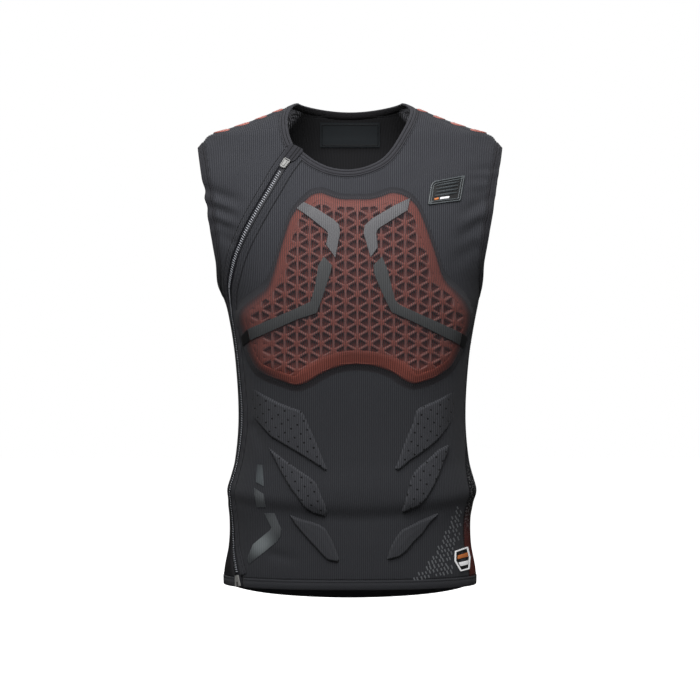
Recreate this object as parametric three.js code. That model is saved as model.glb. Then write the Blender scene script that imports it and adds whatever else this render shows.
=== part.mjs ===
// A sleeveless protective vest in its worn form: knit walls wrapped round a torso, with pads laid on them.
// Millimetres, +Z up, the front faces -Y and the wearer's left is +X. The origin lies midway between the
// two shoulder seams, where the vest sits on the wearer's shoulders.
// Every piece is drawn on the torso form as angles round the body and levels up it, then given a thickness.
import * as THREE from "three";

// Driving sizes
const wallThickness = 2.0;
const seamGap = 0.5;
const seamTurn = 0.15;
const bandLift = 0.4;
const collarWidth = 9;
const bindingWidth = 8;
const hemLevel = -615;
const hemWidth = 12;
const tailDrop = 31;
const tailStart = -440;
const tailRound = 0.27;
const backNeck = { level: 18.5, shoulderLevel: 25.5, fromAngle: 96, toAngle: 264 };
const yokeLevel = -8;
const armholeTop = -28.5;
const armholeBottom = -224;
const armholeReach = { level: -40, x: 202, lean: 0.172 };
const zipHalfWidth = 8;
const zipGap = 0.7;
const sideInset = 11;
const gussetTaper = 95;
const padLift = 0.9;
const chestPadHeight = 9;
const abdomenPadHeight = 5.5;
const shoulderPadHeight = 1.8;
const coverThickness = 0.8;
const coverMargin = 5;
const coverClearance = 0.5;
const padEdgeShare = 0.45;
const padRimShare = 0.06;
const filmThickness = 0.5;
const stripeClearance = 0.8;
const hipStripeLift = 0.6;
const chestBadgeThickness = 1.8;
const hemBadgeThickness = 1.2;
const stripeWidth = 14.5;

// Torso sections: half width, and depth before and behind the shoulder line
const sections = [
  { z: 30, half: 60, front: 18, back: 52 },
  { z: 24, half: 74, front: 22, back: 56 },
  { z: 12, half: 104, front: 33, back: 64 },
  { z: 0, half: 135, front: 42, back: 72 },
  { z: -10, half: 165, front: 48, back: 78 },
  { z: -18, half: 190, front: 52, back: 82 },
  { z: -26, half: 203, front: 56, back: 86 },
  { z: -40, half: 213, front: 62, back: 91 },
  { z: -76, half: 226, front: 79, back: 100 },
  { z: -126, half: 218, front: 97, back: 108 },
  { z: -176, half: 196, front: 107, back: 111 },
  { z: -224, half: 174, front: 111, back: 110 },
  { z: -265, half: 163.5, front: 110, back: 106 },
  { z: -320, half: 155.5, front: 106, back: 99 },
  { z: -393, half: 151.5, front: 101, back: 92 },
  { z: -450, half: 156, front: 101, back: 96 },
  { z: -494, half: 166, front: 104, back: 102 },
  { z: -526, half: 161, front: 99, back: 105 },
  { z: -562, half: 161.5, front: 100, back: 107 },
  { z: -602, half: 168, front: 101, back: 109 },
  { z: -660, half: 164, front: 100, back: 108 },
].reverse();

// Edge of the neck opening seen from the front, from the zip to the left shoulder
const neckFront = [
  { x: -57.5, z: -48.5 },
  { x: -46, z: -57 },
  { x: -27, z: -66 },
  { x: -4, z: -69.5 },
  { x: 17, z: -66.5 },
  { x: 40, z: -56 },
  { x: 55, z: -40 },
  { x: 68.5, z: -17.5 },
  { x: 77, z: 0 },
  { x: 80.5, z: 14 },
  { x: 74, z: 24 },
];

// The same edge from the right shoulder down to the zip
const neckRight = [
  { x: -74, z: 24 },
  { x: -81, z: 12 },
  { x: -83, z: 0 },
  { x: -80, z: -22 },
  { x: -75, z: -35 },
];

// Middle line of the zip from the collar to the hem, as angles round the body
const zipLine = [
  { angle: -48, level: -36 },
  { angle: -51, level: -66 },
  { angle: -52.8, level: -99 },
  { angle: -56.5, level: -152 },
  { angle: -61, level: -187 },
  { angle: -66.2, level: -216 },
  { angle: -71, level: -239 },
  { angle: -75, level: -265 },
  { angle: -78.4, level: -320 },
  { angle: -80, level: -392 },
  { angle: -79, level: -498 },
  { angle: -76.5, level: -551 },
  { angle: -72.5, level: -577 },
  { angle: -69.2, level: -606 },
  { angle: -69, level: -615 },
];

// Pieces of the zip: stretch in millimetres from the collar (from the hem if negative), half width and lifts
const zipTop = 9;
const zipParts = [
  { name: "zip_tape", from: zipTop, to: 0, steps: 46, half: zipHalfWidth, under: -1.7, over: -0.6 },
  { name: "zip_coil", from: zipTop, to: 0, steps: 46, half: 2.6, under: -0.25, over: 1.2 },
  { name: "zip_garage", from: zipTop, to: 33, steps: 4, half: 6.5, under: 1.6, over: 3.2 },
  { name: "zip_slider", from: 34, to: 47, steps: 2, half: 4.2, under: 1.6, over: 4.4 },
  { name: "zip_bottom_stop", from: -15, to: 0, steps: 2, half: 4, under: 1.6, over: 3.4 },
];

// Half outlines of the pads: distance from their own middle line, top and bottom edge
const chestPad = {
  centre: 6.5,
  outline: [
    { x: 0, top: -107, bottom: -321 },
    { x: 28, top: -102, bottom: -323 },
    { x: 46, top: -97, bottom: -330 },
    { x: 60, top: -101, bottom: -341 },
    { x: 73, top: -111, bottom: -349 },
    { x: 84, top: -128, bottom: -348 },
    { x: 90, top: -147, bottom: -346 },
    { x: 97, top: -167, bottom: -344 },
    { x: 107, top: -198, bottom: -341 },
    { x: 117, top: -216, bottom: -335 },
    { x: 132, top: -228, bottom: -319 },
    { x: 140, top: -235, bottom: -302 },
    { x: 144, top: -246, bottom: -282 },
  ],
};
const abdomenCentre = 14;
const abdomenPads = {
  upper: [
    { x: 44, top: -457, bottom: -461 },
    { x: 54, top: -428, bottom: -455 },
    { x: 64, top: -400, bottom: -450 },
    { x: 75, top: -385, bottom: -442 },
    { x: 92, top: -378, bottom: -430 },
    { x: 109, top: -371, bottom: -418 },
    { x: 127, top: -361, bottom: -404 },
    { x: 131, top: -358, bottom: -384 },
  ],
  middle: [
    { x: 44, top: -514, bottom: -518 },
    { x: 49, top: -497, bottom: -521 },
    { x: 58, top: -474, bottom: -516 },
    { x: 71, top: -462, bottom: -508 },
    { x: 87, top: -448, bottom: -489 },
    { x: 105, top: -438, bottom: -463 },
    { x: 114, top: -433, bottom: -449 },
    { x: 122, top: -429, bottom: -434 },
  ],
  lower: [
    { x: 30, top: -574, bottom: -578 },
    { x: 33, top: -565, bottom: -579 },
    { x: 41, top: -547, bottom: -576 },
    { x: 50, top: -536, bottom: -570 },
    { x: 59, top: -531, bottom: -562 },
    { x: 76, top: -524, bottom: -543 },
    { x: 98, top: -516, bottom: -521 },
  ],
};

// Middle lines of the printed stripes: distance from the stripes' own middle line on the chest
const stripeCentre = 4;
const chestStripes = {
  upper: [
    { x: 70, z: -116 },
    { x: 21.5, z: -149 },
    { x: 26.5, z: -178 },
  ],
  lower: [
    { x: 31.5, z: -188 },
    { x: 45.5, z: -240 },
    { x: 123, z: -280 },
  ],
  end: [
    { x: 125, z: -281 },
    { x: 137, z: -287 },
  ],
};
const hipStripes = [
  { width: 9, line: [{ x: -119, z: -455 }, { x: -114, z: -482 }] },
  { width: 11, line: [{ x: -118, z: -489 }, { x: -116.5, z: -509 }] },
  { width: 12, line: [{ x: -104, z: -519 }, { x: -95.5, z: -543 }, { x: -130, z: -573 }] },
];

// Badge corners from the lower left one, anticlockwise seen from the front
const chestBadge = [
  { x: 103, z: -113 },
  { x: 143, z: -110 },
  { x: 150, z: -76 },
  { x: 108, z: -85 },
];
const hemBadge = {
  centre: 0,
  outline: [
    { x: 139, top: -571, bottom: -583 },
    { x: 147, top: -567, bottom: -594 },
    { x: 155, top: -564, bottom: -592 },
    { x: 158, top: -572, bottom: -584 },
  ],
};
const neckLabel = { halfWidth: 41, top: 2, bottom: -30, thickness: 0.8 };
const shoulderPad = { frontAngle: 82, backAngle: 114, top: 14, bottom: -17 };

// Finishes
const finish = (color, roughness) => new THREE.MeshStandardMaterial({ color, roughness, metalness: 0 });
const knit = finish(0x3a3b3f, 0.9);
const sheer = finish(0x4a4b4f, 0.9);
const mesh = finish(0x2a2422, 0.9);
const binding = finish(0x2c2d30, 0.85);
const foam = finish(0xb8402a, 0.7);
const padding = finish(0x46474b, 0.9);
const silverFilm = finish(0x8a868a, 0.5);
const darkFilm = finish(0x4a4b4e, 0.5);
const rubber = finish(0x232427, 0.45);
const plastic = finish(0x9a9a98, 0.4);

const group = new THREE.Group();

// Smooth value of one column of the section table, by a cubic through its rows
function sectionValue(column, z) {
  const last = sections.length - 1;
  let i = 0;
  while (i < last - 1 && z > sections[i + 1].z) i += 1;
  const row = (n) => sections[Math.min(last, Math.max(0, n))];
  const slope = (n) => {
    const rise = row(n + 1)[column] - row(n - 1)[column];
    return rise / (row(n + 1).z - row(n - 1).z);
  };
  const span = row(i + 1).z - row(i).z;
  const t = Math.min(1, Math.max(0, (z - row(i).z) / span));
  const from = row(i)[column] * (1 + 2 * t) * (1 - t) ** 2 + slope(i) * span * t * (1 - t) ** 2;
  const to = row(i + 1)[column] * t * t * (3 - 2 * t) + slope(i + 1) * span * t * t * (t - 1);
  return from + to;
}

// A section is an ellipse at the shoulders and squarer below the arms
const squareness = (z) => 2 + 0.35 * THREE.MathUtils.smoothstep(-z, 40, 176);

// Height of a level: the back of the hem hangs lower than its front
function levelHeight(angle, level) {
  const behind = Math.max(0, -Math.cos(THREE.MathUtils.degToRad(angle))) ** 2;
  const share = (behind * (1 + tailRound)) / (behind + tailRound);
  return level - tailDrop * share * THREE.MathUtils.smoothstep(-level, -tailStart, -hemLevel);
}

// Point of the outer wall at an angle round the body (0 front, 90 wearer's left) and a level
function formPoint(angle, level) {
  const turn = THREE.MathUtils.degToRad(angle);
  const z = levelHeight(angle, level);
  const power = squareness(z);
  const depth = sectionValue(Math.cos(turn) > 0 ? "front" : "back", z);
  const across = (Math.abs(Math.sin(turn)) / sectionValue("half", z)) ** power;
  const along = (Math.abs(Math.cos(turn)) / depth) ** power;
  const radius = (across + along) ** (-1 / power);
  return new THREE.Vector3(radius * Math.sin(turn), -radius * Math.cos(turn), z);
}

function formNormal(angle, level) {
  const step = 0.5;
  const round = formPoint(angle + step, level).sub(formPoint(angle - step, level));
  const up = formPoint(angle, level + step).sub(formPoint(angle, level - step));
  return round.cross(up).normalize();
}

const lifted = (flat, lift) =>
  formPoint(flat.angle, flat.level).addScaledVector(formNormal(flat.angle, flat.level), lift);

// Angle and level of the wall point that is seen at x, z from the front (side -1) or from behind (side 1)
function seenAt(x, z, side = -1) {
  const power = squareness(z);
  const share = Math.min(1, Math.abs(x) / sectionValue("half", z));
  const y = sectionValue(side < 0 ? "front" : "back", z) * (1 - share ** power) ** (1 / power);
  const angle = THREE.MathUtils.radToDeg(Math.atan2(x, -side * y));
  return { angle, level: z };
}

// Smooth line of wall points through the rows of a table
function smoothLine(rows, count) {
  const curve = new THREE.CatmullRomCurve3(rows.map((row) => new THREE.Vector3(row.x, 0, row.z)));
  return curve.getPoints(count).map((point) => seenAt(point.x, point.z));
}

// The line moved sideways over the wall: a positive distance goes to the right of its run, seen from outside
function movedLine(line, distance, closed = false) {
  const count = line.length;
  const at = (i) => formPoint(line[i].angle, line[i].level);
  return line.map((flat, i) => {
    const before = closed ? (i + count - 2) % (count - 1) : Math.max(0, i - 1);
    const after = closed ? (i + 1) % (count - 1) : Math.min(count - 1, i + 1);
    const run = at(after).sub(at(before)).normalize();
    const aside = run.cross(formNormal(flat.angle, flat.level)).normalize();
    const moved = at(i).addScaledVector(aside, distance);
    const angle = THREE.MathUtils.radToDeg(Math.atan2(moved.x, -moved.y));
    const turns = Math.round((flat.angle - angle) / 360);
    return { angle: angle + 360 * turns, level: moved.z };
  });
}

// Value of one coordinate where another one is reached along a line
function valueOn(line, find, by, wanted) {
  for (let i = 0; i + 1 < line.length; i += 1) {
    const from = line[i];
    const to = line[i + 1];
    const inside = (from[by] - wanted) * (to[by] - wanted) <= 0 && from[by] !== to[by];
    if (inside) return from[find] + ((to[find] - from[find]) * (wanted - from[by])) / (to[by] - from[by]);
  }
  const first = line[0];
  const last = line[line.length - 1];
  return Math.abs(first[by] - wanted) < Math.abs(last[by] - wanted) ? first[find] : last[find];
}

const spread = (from, to, count) =>
  Array.from({ length: count + 1 }, (_, i) => from + ((to - from) * i) / count);

const between = (a, b, t) => ({
  angle: a.angle + (b.angle - a.angle) * t,
  level: a.level + (b.level - a.level) * t,
});

// Grid of wall points between two edges, each an angle for a level
const panelGrid = (levels, fromEdge, toEdge, columns) =>
  levels.map((level) =>
    spread(fromEdge(level), toEdge(level), columns).map((angle) => ({ angle, level })));

// Grid between two lines of equal length
const bandGrid = (left, right, columns) =>
  left.map((flat, i) => spread(0, 1, columns).map((t) => between(flat, right[i], t)));

// A closed wall over one or more grids that share points: the outer and inner lifts may be functions
function addWall(name, material, grids, inner, outer) {
  const flats = [];
  const numbers = new Map();
  const numberOf = (flat) => {
    const key = `${flat.angle.toFixed(3)} ${flat.level.toFixed(3)}`;
    if (!numbers.has(key)) {
      numbers.set(key, flats.length);
      flats.push(flat);
    }
    return numbers.get(key);
  };
  const faces = [];
  const addFace = (a, b, c) => {
    if (a !== b && b !== c && c !== a) faces.push([a, b, c]);
  };
  for (const grid of grids) {
    const rows = grid.map((row) => row.map(numberOf));
    for (let i = 0; i + 1 < rows.length; i += 1) {
      for (let j = 0; j + 1 < rows[i].length; j += 1) {
        addFace(rows[i][j], rows[i][j + 1], rows[i + 1][j + 1]);
        addFace(rows[i][j], rows[i + 1][j + 1], rows[i + 1][j]);
      }
    }
  }
  const count = flats.length;
  const edges = new Set(faces.flatMap(([a, b, c]) => [`${a} ${b}`, `${b} ${c}`, `${c} ${a}`]));
  const index = faces.flatMap(([a, b, c]) => [a, b, c, count + c, count + b, count + a]);
  for (const edge of edges) {
    const [a, b] = edge.split(" ").map(Number);
    if (!edges.has(`${b} ${a}`)) index.push(b, a, count + a, b, count + a, count + b);
  }
  const liftBy = (lift, flat) => (typeof lift === "function" ? lift(flat) : lift);
  const points = [outer, inner].flatMap((lift) => flats.map((flat) => lifted(flat, liftBy(lift, flat))));
  const geometry = new THREE.BufferGeometry().setFromPoints(points);
  geometry.setIndex(index);
  geometry.computeVertexNormals();
  const piece = new THREE.Mesh(geometry, material);
  piece.name = name;
  group.add(piece);
}

// Edges of the openings and of the zip
const neckSteps = { front: 24, back: 22, right: 10 };
const backNeckRise = backNeck.shoulderLevel - backNeck.level;
const neckLine = [
  ...smoothLine(neckFront, neckSteps.front),
  ...spread(backNeck.fromAngle, backNeck.toAngle, neckSteps.back).map((angle) => ({
    angle,
    level: backNeck.level + backNeckRise * Math.sin(THREE.MathUtils.degToRad(angle)) ** 2,
  })),
  ...smoothLine(neckRight, neckSteps.right).map((flat) => ({ angle: flat.angle + 360, level: flat.level })),
];
const collarEdge = movedLine(neckLine, collarWidth);
const panelNeckEdge = movedLine(neckLine, collarWidth + seamGap);
const lowestNeck = panelNeckEdge.reduce((low, flat) => (flat.level < low.level ? flat : low));
const lowestNumber = panelNeckEdge.indexOf(lowestNeck);

// The part of the neck edge between two angles, ending exactly at them
function neckBetween(from, to) {
  const end = (angle) => ({ angle, level: valueOn(panelNeckEdge, "level", "angle", angle) });
  const inner = panelNeckEdge.filter((flat) => flat.angle > from && flat.angle < to);
  return [end(from), ...inner, end(to)];
}
const neckToZip = panelNeckEdge.slice(0, lowestNumber + 1);
const neckToLeft = neckBetween(lowestNeck.angle, 90 - seamTurn);
const neckBehind = neckBetween(90 + seamTurn, 270 - seamTurn);
const neckAtRight = neckBetween(270 + seamTurn, panelNeckEdge[panelNeckEdge.length - 1].angle)
  .map((flat) => ({ angle: flat.angle - 360, level: flat.level }));

// Armhole on the wearer's left (side 1) or right (side -1), run so that the wall lies to its right
function armholeLine(side, steps = 36) {
  const middle = (armholeTop + armholeBottom) / 2;
  const reach = (armholeTop - armholeBottom) / 2;
  return spread(0, 2 * Math.PI, steps).map((turn) => {
    const level = middle + reach * Math.cos(turn);
    const x = armholeReach.x + (level - armholeReach.level) * armholeReach.lean;
    const behind = Math.sin(side * turn) * side < -1e-9 ? 1 : -1;
    const ends = Math.abs(Math.sin(turn)) < 1e-9;
    const flat = seenAt(side * x, level, side > 0 ? behind : -behind);
    return { angle: ends ? side * 90 : flat.angle, level };
  });
}
const leftArmhole = armholeLine(1);
const rightArmhole = armholeLine(-1);

function armholeEdges(line, side) {
  const edge = movedLine(line, bindingWidth + seamGap, true);
  const ahead = edge.filter((flat) => Math.abs(flat.angle) <= 90.5);
  const behind = edge.filter((flat) => Math.abs(flat.angle) >= 89.5);
  const byLevel = (a, b) => a.level - b.level;
  return { side, ahead: ahead.sort(byLevel), behind: behind.sort(byLevel) };
}
const leftEdges = armholeEdges(leftArmhole, 1);
const rightEdges = armholeEdges(rightArmhole, -1);
const bindingTop = leftEdges.ahead[leftEdges.ahead.length - 1].level;
const bindingBottom = leftEdges.ahead[0].level;

const zipSteps = 60;
const zipPlaces = zipLine.map((row) => new THREE.Vector3(row.angle, 0, row.level));
const zipCurve = new THREE.CatmullRomCurve3(zipPlaces);
const zipMiddle = zipCurve.getPoints(zipSteps).map((point) => ({ angle: point.x, level: point.z }));
const zipFrontEdge = movedLine(zipMiddle, -zipHalfWidth - zipGap);
const zipRearEdge = movedLine(zipMiddle, zipHalfWidth + zipGap);

// Side seams run to a point under each armhole
function seamAngle(level, side, behind) {
  const flat = seenAt(sectionValue("half", level) - sideInset, level, behind ? 1 : -1);
  const taper = THREE.MathUtils.smoothstep(bindingBottom - level, 0, gussetTaper);
  return side * (90 + (flat.angle - 90) * taper);
}

// Outer edge of a panel before or behind an arm: side seam, armhole, then the shoulder seam
function outerEdge(edges, behind) {
  const armLine = behind ? edges.behind : edges.ahead;
  const back = behind ? 1 : -1;
  return (level) => {
    if (level >= bindingTop) return edges.side * (90 + back * seamTurn);
    if (level > bindingBottom) return valueOn(armLine, "angle", "level", level);
    return seamAngle(level, edges.side, behind) + edges.side * back * seamTurn;
  };
}
const panelBottom = hemLevel + hemWidth + seamGap;

// Levels from the hem to the armpit, and those of an edge's own points between two heights
const lowLevels = spread(panelBottom, bindingBottom, 18);
const leastStep = 0.3;
function levelsOf(lines, from, to) {
  const all = lines.flat().map((flat) => flat.level).sort((a, b) => a - b);
  const kept = [];
  for (const level of all) {
    const last = kept.length ? kept[kept.length - 1] : from;
    if (level - last > leastStep && to - level > leastStep) kept.push(level);
  }
  return [...kept, to];
}

function frontPanel() {
  const columns = 9;
  const centre = () => lowestNeck.angle;
  const lowest = lowestNeck.level;
  const zipEdge = (level) => valueOn(zipFrontEdge, "angle", "level", level);
  const neckByZip = (level) => valueOn(neckToZip, "angle", "level", level);
  const neckByLeft = (level) => valueOn(neckToLeft, "angle", "level", level);
  const corner = spread(lowest, neckToZip[0].level, 200).find((level) => zipEdge(level) > neckByZip(level));
  const cornerTop = corner ?? neckToZip[0].level;
  const shoulderTop = neckToLeft[neckToLeft.length - 1].level;
  const left = outerEdge(leftEdges, false);
  const bodyLevels = [...lowLevels, ...levelsOf([leftEdges.ahead], bindingBottom, lowest)];
  const cornerLevels = levelsOf([neckToZip], lowest, cornerTop);
  const strapLevels = [
    ...levelsOf([neckToLeft, leftEdges.ahead], lowest, bindingTop),
    ...levelsOf([neckToLeft], bindingTop, shoulderTop),
  ];
  const zipGrid = [
    ...panelGrid(bodyLevels, zipEdge, centre, columns),
    ...panelGrid(cornerLevels, zipEdge, neckByZip, columns),
  ];
  const leftGrid = [
    ...panelGrid(bodyLevels, centre, left, columns),
    ...panelGrid(strapLevels, neckByLeft, left, columns),
  ];
  addWall("front_panel", knit, [zipGrid, leftGrid], -wallThickness, 0);
}

function rightShoulderPanel() {
  const shoulderTop = neckAtRight[0].level;
  const outer = outerEdge(rightEdges, false);
  const inner = (level) => {
    const zip = valueOn(zipRearEdge, "angle", "level", level);
    const neck = valueOn(neckAtRight, "angle", "level", level);
    return level < neckAtRight[neckAtRight.length - 1].level ? zip : Math.min(zip, neck);
  };
  const bottom = bindingBottom + seamGap;
  const levels = [
    bottom,
    ...levelsOf([rightEdges.ahead, neckAtRight], bottom, bindingTop),
    ...levelsOf([neckAtRight], bindingTop, shoulderTop),
  ];
  addWall("right_shoulder_panel", knit, [panelGrid(levels, outer, inner, 6)], -wallThickness, 0);
}

function backPanel() {
  const columns = 12;
  const middle = () => 180;
  const neckLeft = neckBehind.filter((flat) => flat.angle < 181);
  const neckRightHalf = neckBehind.filter((flat) => flat.angle > 179);
  const lowest = Math.min(...neckBehind.map((flat) => flat.level));
  const shoulderTop = Math.min(neckLeft[0].level, neckRightHalf[neckRightHalf.length - 1].level);
  const left = outerEdge(leftEdges, true);
  const right = (level) => outerEdge(rightEdges, true)(level) + 360;
  const leftNeck = (level) => valueOn(neckLeft, "angle", "level", level);
  const rightNeck = (level) => valueOn(neckRightHalf, "angle", "level", level);
  const bodyLevels = [
    ...lowLevels,
    ...levelsOf([leftEdges.behind], bindingBottom, bindingTop),
    yokeLevel,
    lowest,
  ];
  const strapLevels = levelsOf([neckLeft], lowest, shoulderTop);
  const leftGrid = [
    ...panelGrid(bodyLevels, left, middle, columns),
    ...panelGrid(strapLevels, left, leftNeck, columns),
  ];
  const rightGrid = [
    ...panelGrid(bodyLevels, middle, right, columns),
    ...panelGrid(strapLevels, rightNeck, right, columns),
  ];
  addWall("back_panel", knit, [leftGrid, rightGrid], -wallThickness, 0);
}

function sidePanels() {
  const levels = [...lowLevels.slice(0, -1), bindingBottom - seamGap];
  const leftFront = (level) => seamAngle(level, 1, false) + seamTurn;
  const leftBack = (level) => seamAngle(level, 1, true) - seamTurn;
  addWall("left_side_panel", mesh, [panelGrid(levels, leftFront, leftBack, 10)], -wallThickness, 0);
  const rightBack = (level) => seamAngle(level, -1, true) + seamTurn;
  const rightFront = (level) => valueOn(zipRearEdge, "angle", "level", level);
  addWall("right_side_panel", mesh, [panelGrid(levels, rightBack, rightFront, 10)], -wallThickness, 0);
}

function boundEdges() {
  addWall("collar_band", binding, [bandGrid(neckLine, collarEdge, 1)], -wallThickness, bandLift);
  for (const [side, line] of [["left", leftArmhole], ["right", rightArmhole]]) {
    const edge = movedLine(line, bindingWidth, true);
    addWall(`${side}_armhole_binding`, binding, [bandGrid(line, edge, 1)], -wallThickness, bandLift);
  }
  const start = (level) => valueOn(zipFrontEdge, "angle", "level", level);
  const end = (level) => valueOn(zipRearEdge, "angle", "level", level) + 360;
  const hem = panelGrid([hemLevel, hemLevel + hemWidth], start, end, 96);
  addWall("hem_band", binding, [hem], -wallThickness, bandLift);
}

// Stretch of the zip, measured in millimetres down from the collar
function zipStretch(from, to, steps) {
  const lengths = [0];
  const points = zipMiddle.map((flat) => formPoint(flat.angle, flat.level));
  for (let i = 1; i < points.length; i += 1) {
    lengths.push(lengths[i - 1] + points[i].distanceTo(points[i - 1]));
  }
  const total = lengths[lengths.length - 1];
  const place = (length) => {
    let i = 0;
    while (i < lengths.length - 2 && length > lengths[i + 1]) i += 1;
    return between(zipMiddle[i], zipMiddle[i + 1], (length - lengths[i]) / (lengths[i + 1] - lengths[i]));
  };
  const start = from < 0 ? total + from : from;
  const end = to > 0 ? to : total + to;
  return spread(start, end, steps).map(place);
}

function zipPieces() {
  const finishes = { zip_garage: knit, zip_slider: plastic, zip_bottom_stop: plastic };
  for (const { name, from, to, steps, half, under, over } of zipParts) {
    const line = zipStretch(from, to, steps);
    const grid = bandGrid(movedLine(line, -half), movedLine(line, half), 1);
    addWall(name, finishes[name] ?? binding, [grid], under, over);
  }
}

// Rows of points over a pad seen from the front: a column for each row of its outline, both ways if mirrored.
// A positive grow adds a ring of points that far outside the outline.
function padGrid(outline, centre, mirror, rows, grow = 0) {
  const shares = [0, ...spread(padRimShare, 1 - padRimShare, rows), 1];
  const column = (row, x) => {
    const heights = shares.map((share) => row.bottom + share * (row.top - row.bottom));
    const ringed = grow > 0 ? [row.bottom - grow, ...heights, row.top + grow] : heights;
    return ringed.map((z) => seenAt(centre + x, z));
  };
  const half = outline.map((row) => column(row, row.x));
  const other = outline.slice(1).map((row) => column(row, -row.x)).reverse();
  const far = outline[outline.length - 1];
  if (grow > 0) {
    half.push(column(far, far.x + grow));
    other.unshift(column(far, -far.x - grow));
  }
  const columns = mirror ? [...other, ...half] : half;
  return columns[0].map((_, i) => columns.map((points) => points[i]));
}

// Lift of a pad's top: lower round the rim than inside it
function rimLift(grid, low, high, rings = 1) {
  const rim = new Set();
  grid.forEach((row, i) => row.forEach((flat, j) => {
    const edge = Math.min(i, j, grid.length - 1 - i, row.length - 1 - j);
    if (edge < rings) rim.add(flat);
  }));
  return (flat) => (rim.has(flat) ? low : high);
}

function chestArmour() {
  const { outline, centre } = chestPad;
  const rows = 9;
  const pad = padGrid(outline, centre, true, rows);
  const edgeHeight = padLift + padEdgeShare * chestPadHeight;
  const topHeight = padLift + chestPadHeight;
  addWall("chest_protector", foam, [pad], padLift, rimLift(pad, edgeHeight, topHeight));
  const cover = padGrid(outline, centre, true, rows, coverMargin);
  const under = (extra) => {
    const outerRing = rimLift(cover, padLift, topHeight + coverClearance, 1);
    const innerRing = rimLift(cover, edgeHeight + coverClearance, topHeight + coverClearance, 2);
    return (flat) => Math.min(outerRing(flat), innerRing(flat)) + extra;
  };
  addWall("chest_cover", sheer, [cover], under(0), under(coverThickness));
}

function abdomenArmour() {
  for (const [level, outline] of Object.entries(abdomenPads)) {
    for (const [side, sign] of [["left", 1], ["right", -1]]) {
      const grid = padGrid(outline, 0, false, 4);
      const placed = grid.map((row) => {
        const moved = row.map((flat) => {
          const x = formPoint(flat.angle, flat.level).x;
          return seenAt(abdomenCentre + sign * x, flat.level);
        });
        return sign > 0 ? moved : moved.reverse();
      });
      const top = rimLift(placed, padLift + padEdgeShare * abdomenPadHeight, padLift + abdomenPadHeight);
      addWall(`${side}_abdomen_pad_${level}`, padding, [placed], padLift, top);
    }
  }
}

function shoulderArmour() {
  const { frontAngle, backAngle, top, bottom } = shoulderPad;
  for (const [side, sign] of [["left", 1], ["right", -1]]) {
    const from = sign > 0 ? frontAngle : -backAngle;
    const to = sign > 0 ? backAngle : -frontAngle;
    const grid = panelGrid(spread(bottom, top, 8), () => from, () => to, 8);
    const lift = rimLift(grid, padLift + padEdgeShare * shoulderPadHeight, padLift + shoulderPadHeight);
    addWall(`${side}_shoulder_pad`, foam, [grid], padLift, lift);
  }
}

// A flat stripe of one width along a bent line, cut square at its ends and mitred at its bend
function stripeGrid(line, width, steps) {
  const points = line.map((row) => new THREE.Vector2(row.x, row.z));
  const corner = (i, aside) => {
    const before = points[Math.max(0, i - 1)];
    const after = points[Math.min(points.length - 1, i + 1)];
    const into = points[i].clone().sub(before).normalize();
    const out = after.clone().sub(points[i]).normalize();
    const run = into.add(out).normalize();
    const bent = i > 0 && i < points.length - 1;
    const half = bent ? width / 2 / Math.abs(run.dot(out)) : width / 2;
    return points[i].clone().addScaledVector(new THREE.Vector2(-run.y, run.x), aside * half);
  };
  const side = (aside) => {
    const corners = points.map((_, i) => corner(i, aside));
    const stretches = corners.slice(1).map((end, i) =>
      spread(0, 1, steps).slice(i ? 1 : 0).map((t) => corners[i].clone().lerp(end, t)));
    return stretches.flat().map((point) => seenAt(point.x, point.y));
  };
  return bandGrid(side(1), side(-1), 1);
}

function stripes() {
  const onCover = padLift + chestPadHeight + coverClearance + coverThickness + stripeClearance;
  const finishes = { upper: silverFilm, lower: darkFilm, end: rubber };
  for (const [place, line] of Object.entries(chestStripes)) {
    for (const [side, sign] of [["left", 1], ["right", -1]]) {
      const rows = line.map((row) => ({ x: stripeCentre + sign * row.x, z: row.z }));
      const grid = stripeGrid(rows, stripeWidth, place === "end" ? 1 : 5);
      addWall(`${side}_chest_stripe_${place}`, finishes[place], [grid], onCover, onCover + filmThickness);
    }
  }
  hipStripes.forEach(({ width, line }, i) => {
    const grid = stripeGrid(line, width, 3);
    addWall(`hip_stripe_${i + 1}`, darkFilm, [grid], hipStripeLift, hipStripeLift + filmThickness);
  });
}

function badges() {
  const [lowLeft, lowRight, highRight, highLeft] = chestBadge;
  const mix = (a, b, t) => ({ x: a.x + (b.x - a.x) * t, z: a.z + (b.z - a.z) * t });
  const grid = spread(0, 1, 3).map((up) =>
    spread(0, 1, 4).map((across) => {
      const point = mix(mix(lowLeft, lowRight, across), mix(highLeft, highRight, across), up);
      return seenAt(point.x, point.z);
    }));
  addWall("chest_badge", rubber, [grid], padLift, padLift + chestBadgeThickness);
  const hexagon = padGrid(hemBadge.outline, hemBadge.centre, false, 2);
  addWall("hem_badge", rubber, [hexagon], padLift, padLift + hemBadgeThickness);
  const { halfWidth, top, bottom, thickness } = neckLabel;
  const label = spread(bottom, top, 3).map((level) =>
    spread(halfWidth, -halfWidth, 6).map((x) => {
      const flat = seenAt(x, level, 1);
      return { angle: (flat.angle + 360) % 360, level };
    }));
  addWall("neck_label", rubber, [label], -wallThickness - padLift - thickness, -wallThickness - padLift);
}

frontPanel();
rightShoulderPanel();
backPanel();
sidePanels();
boundEdges();
zipPieces();
chestArmour();
abdomenArmour();
shoulderArmour();
stripes();
badges();

export default group;
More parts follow.
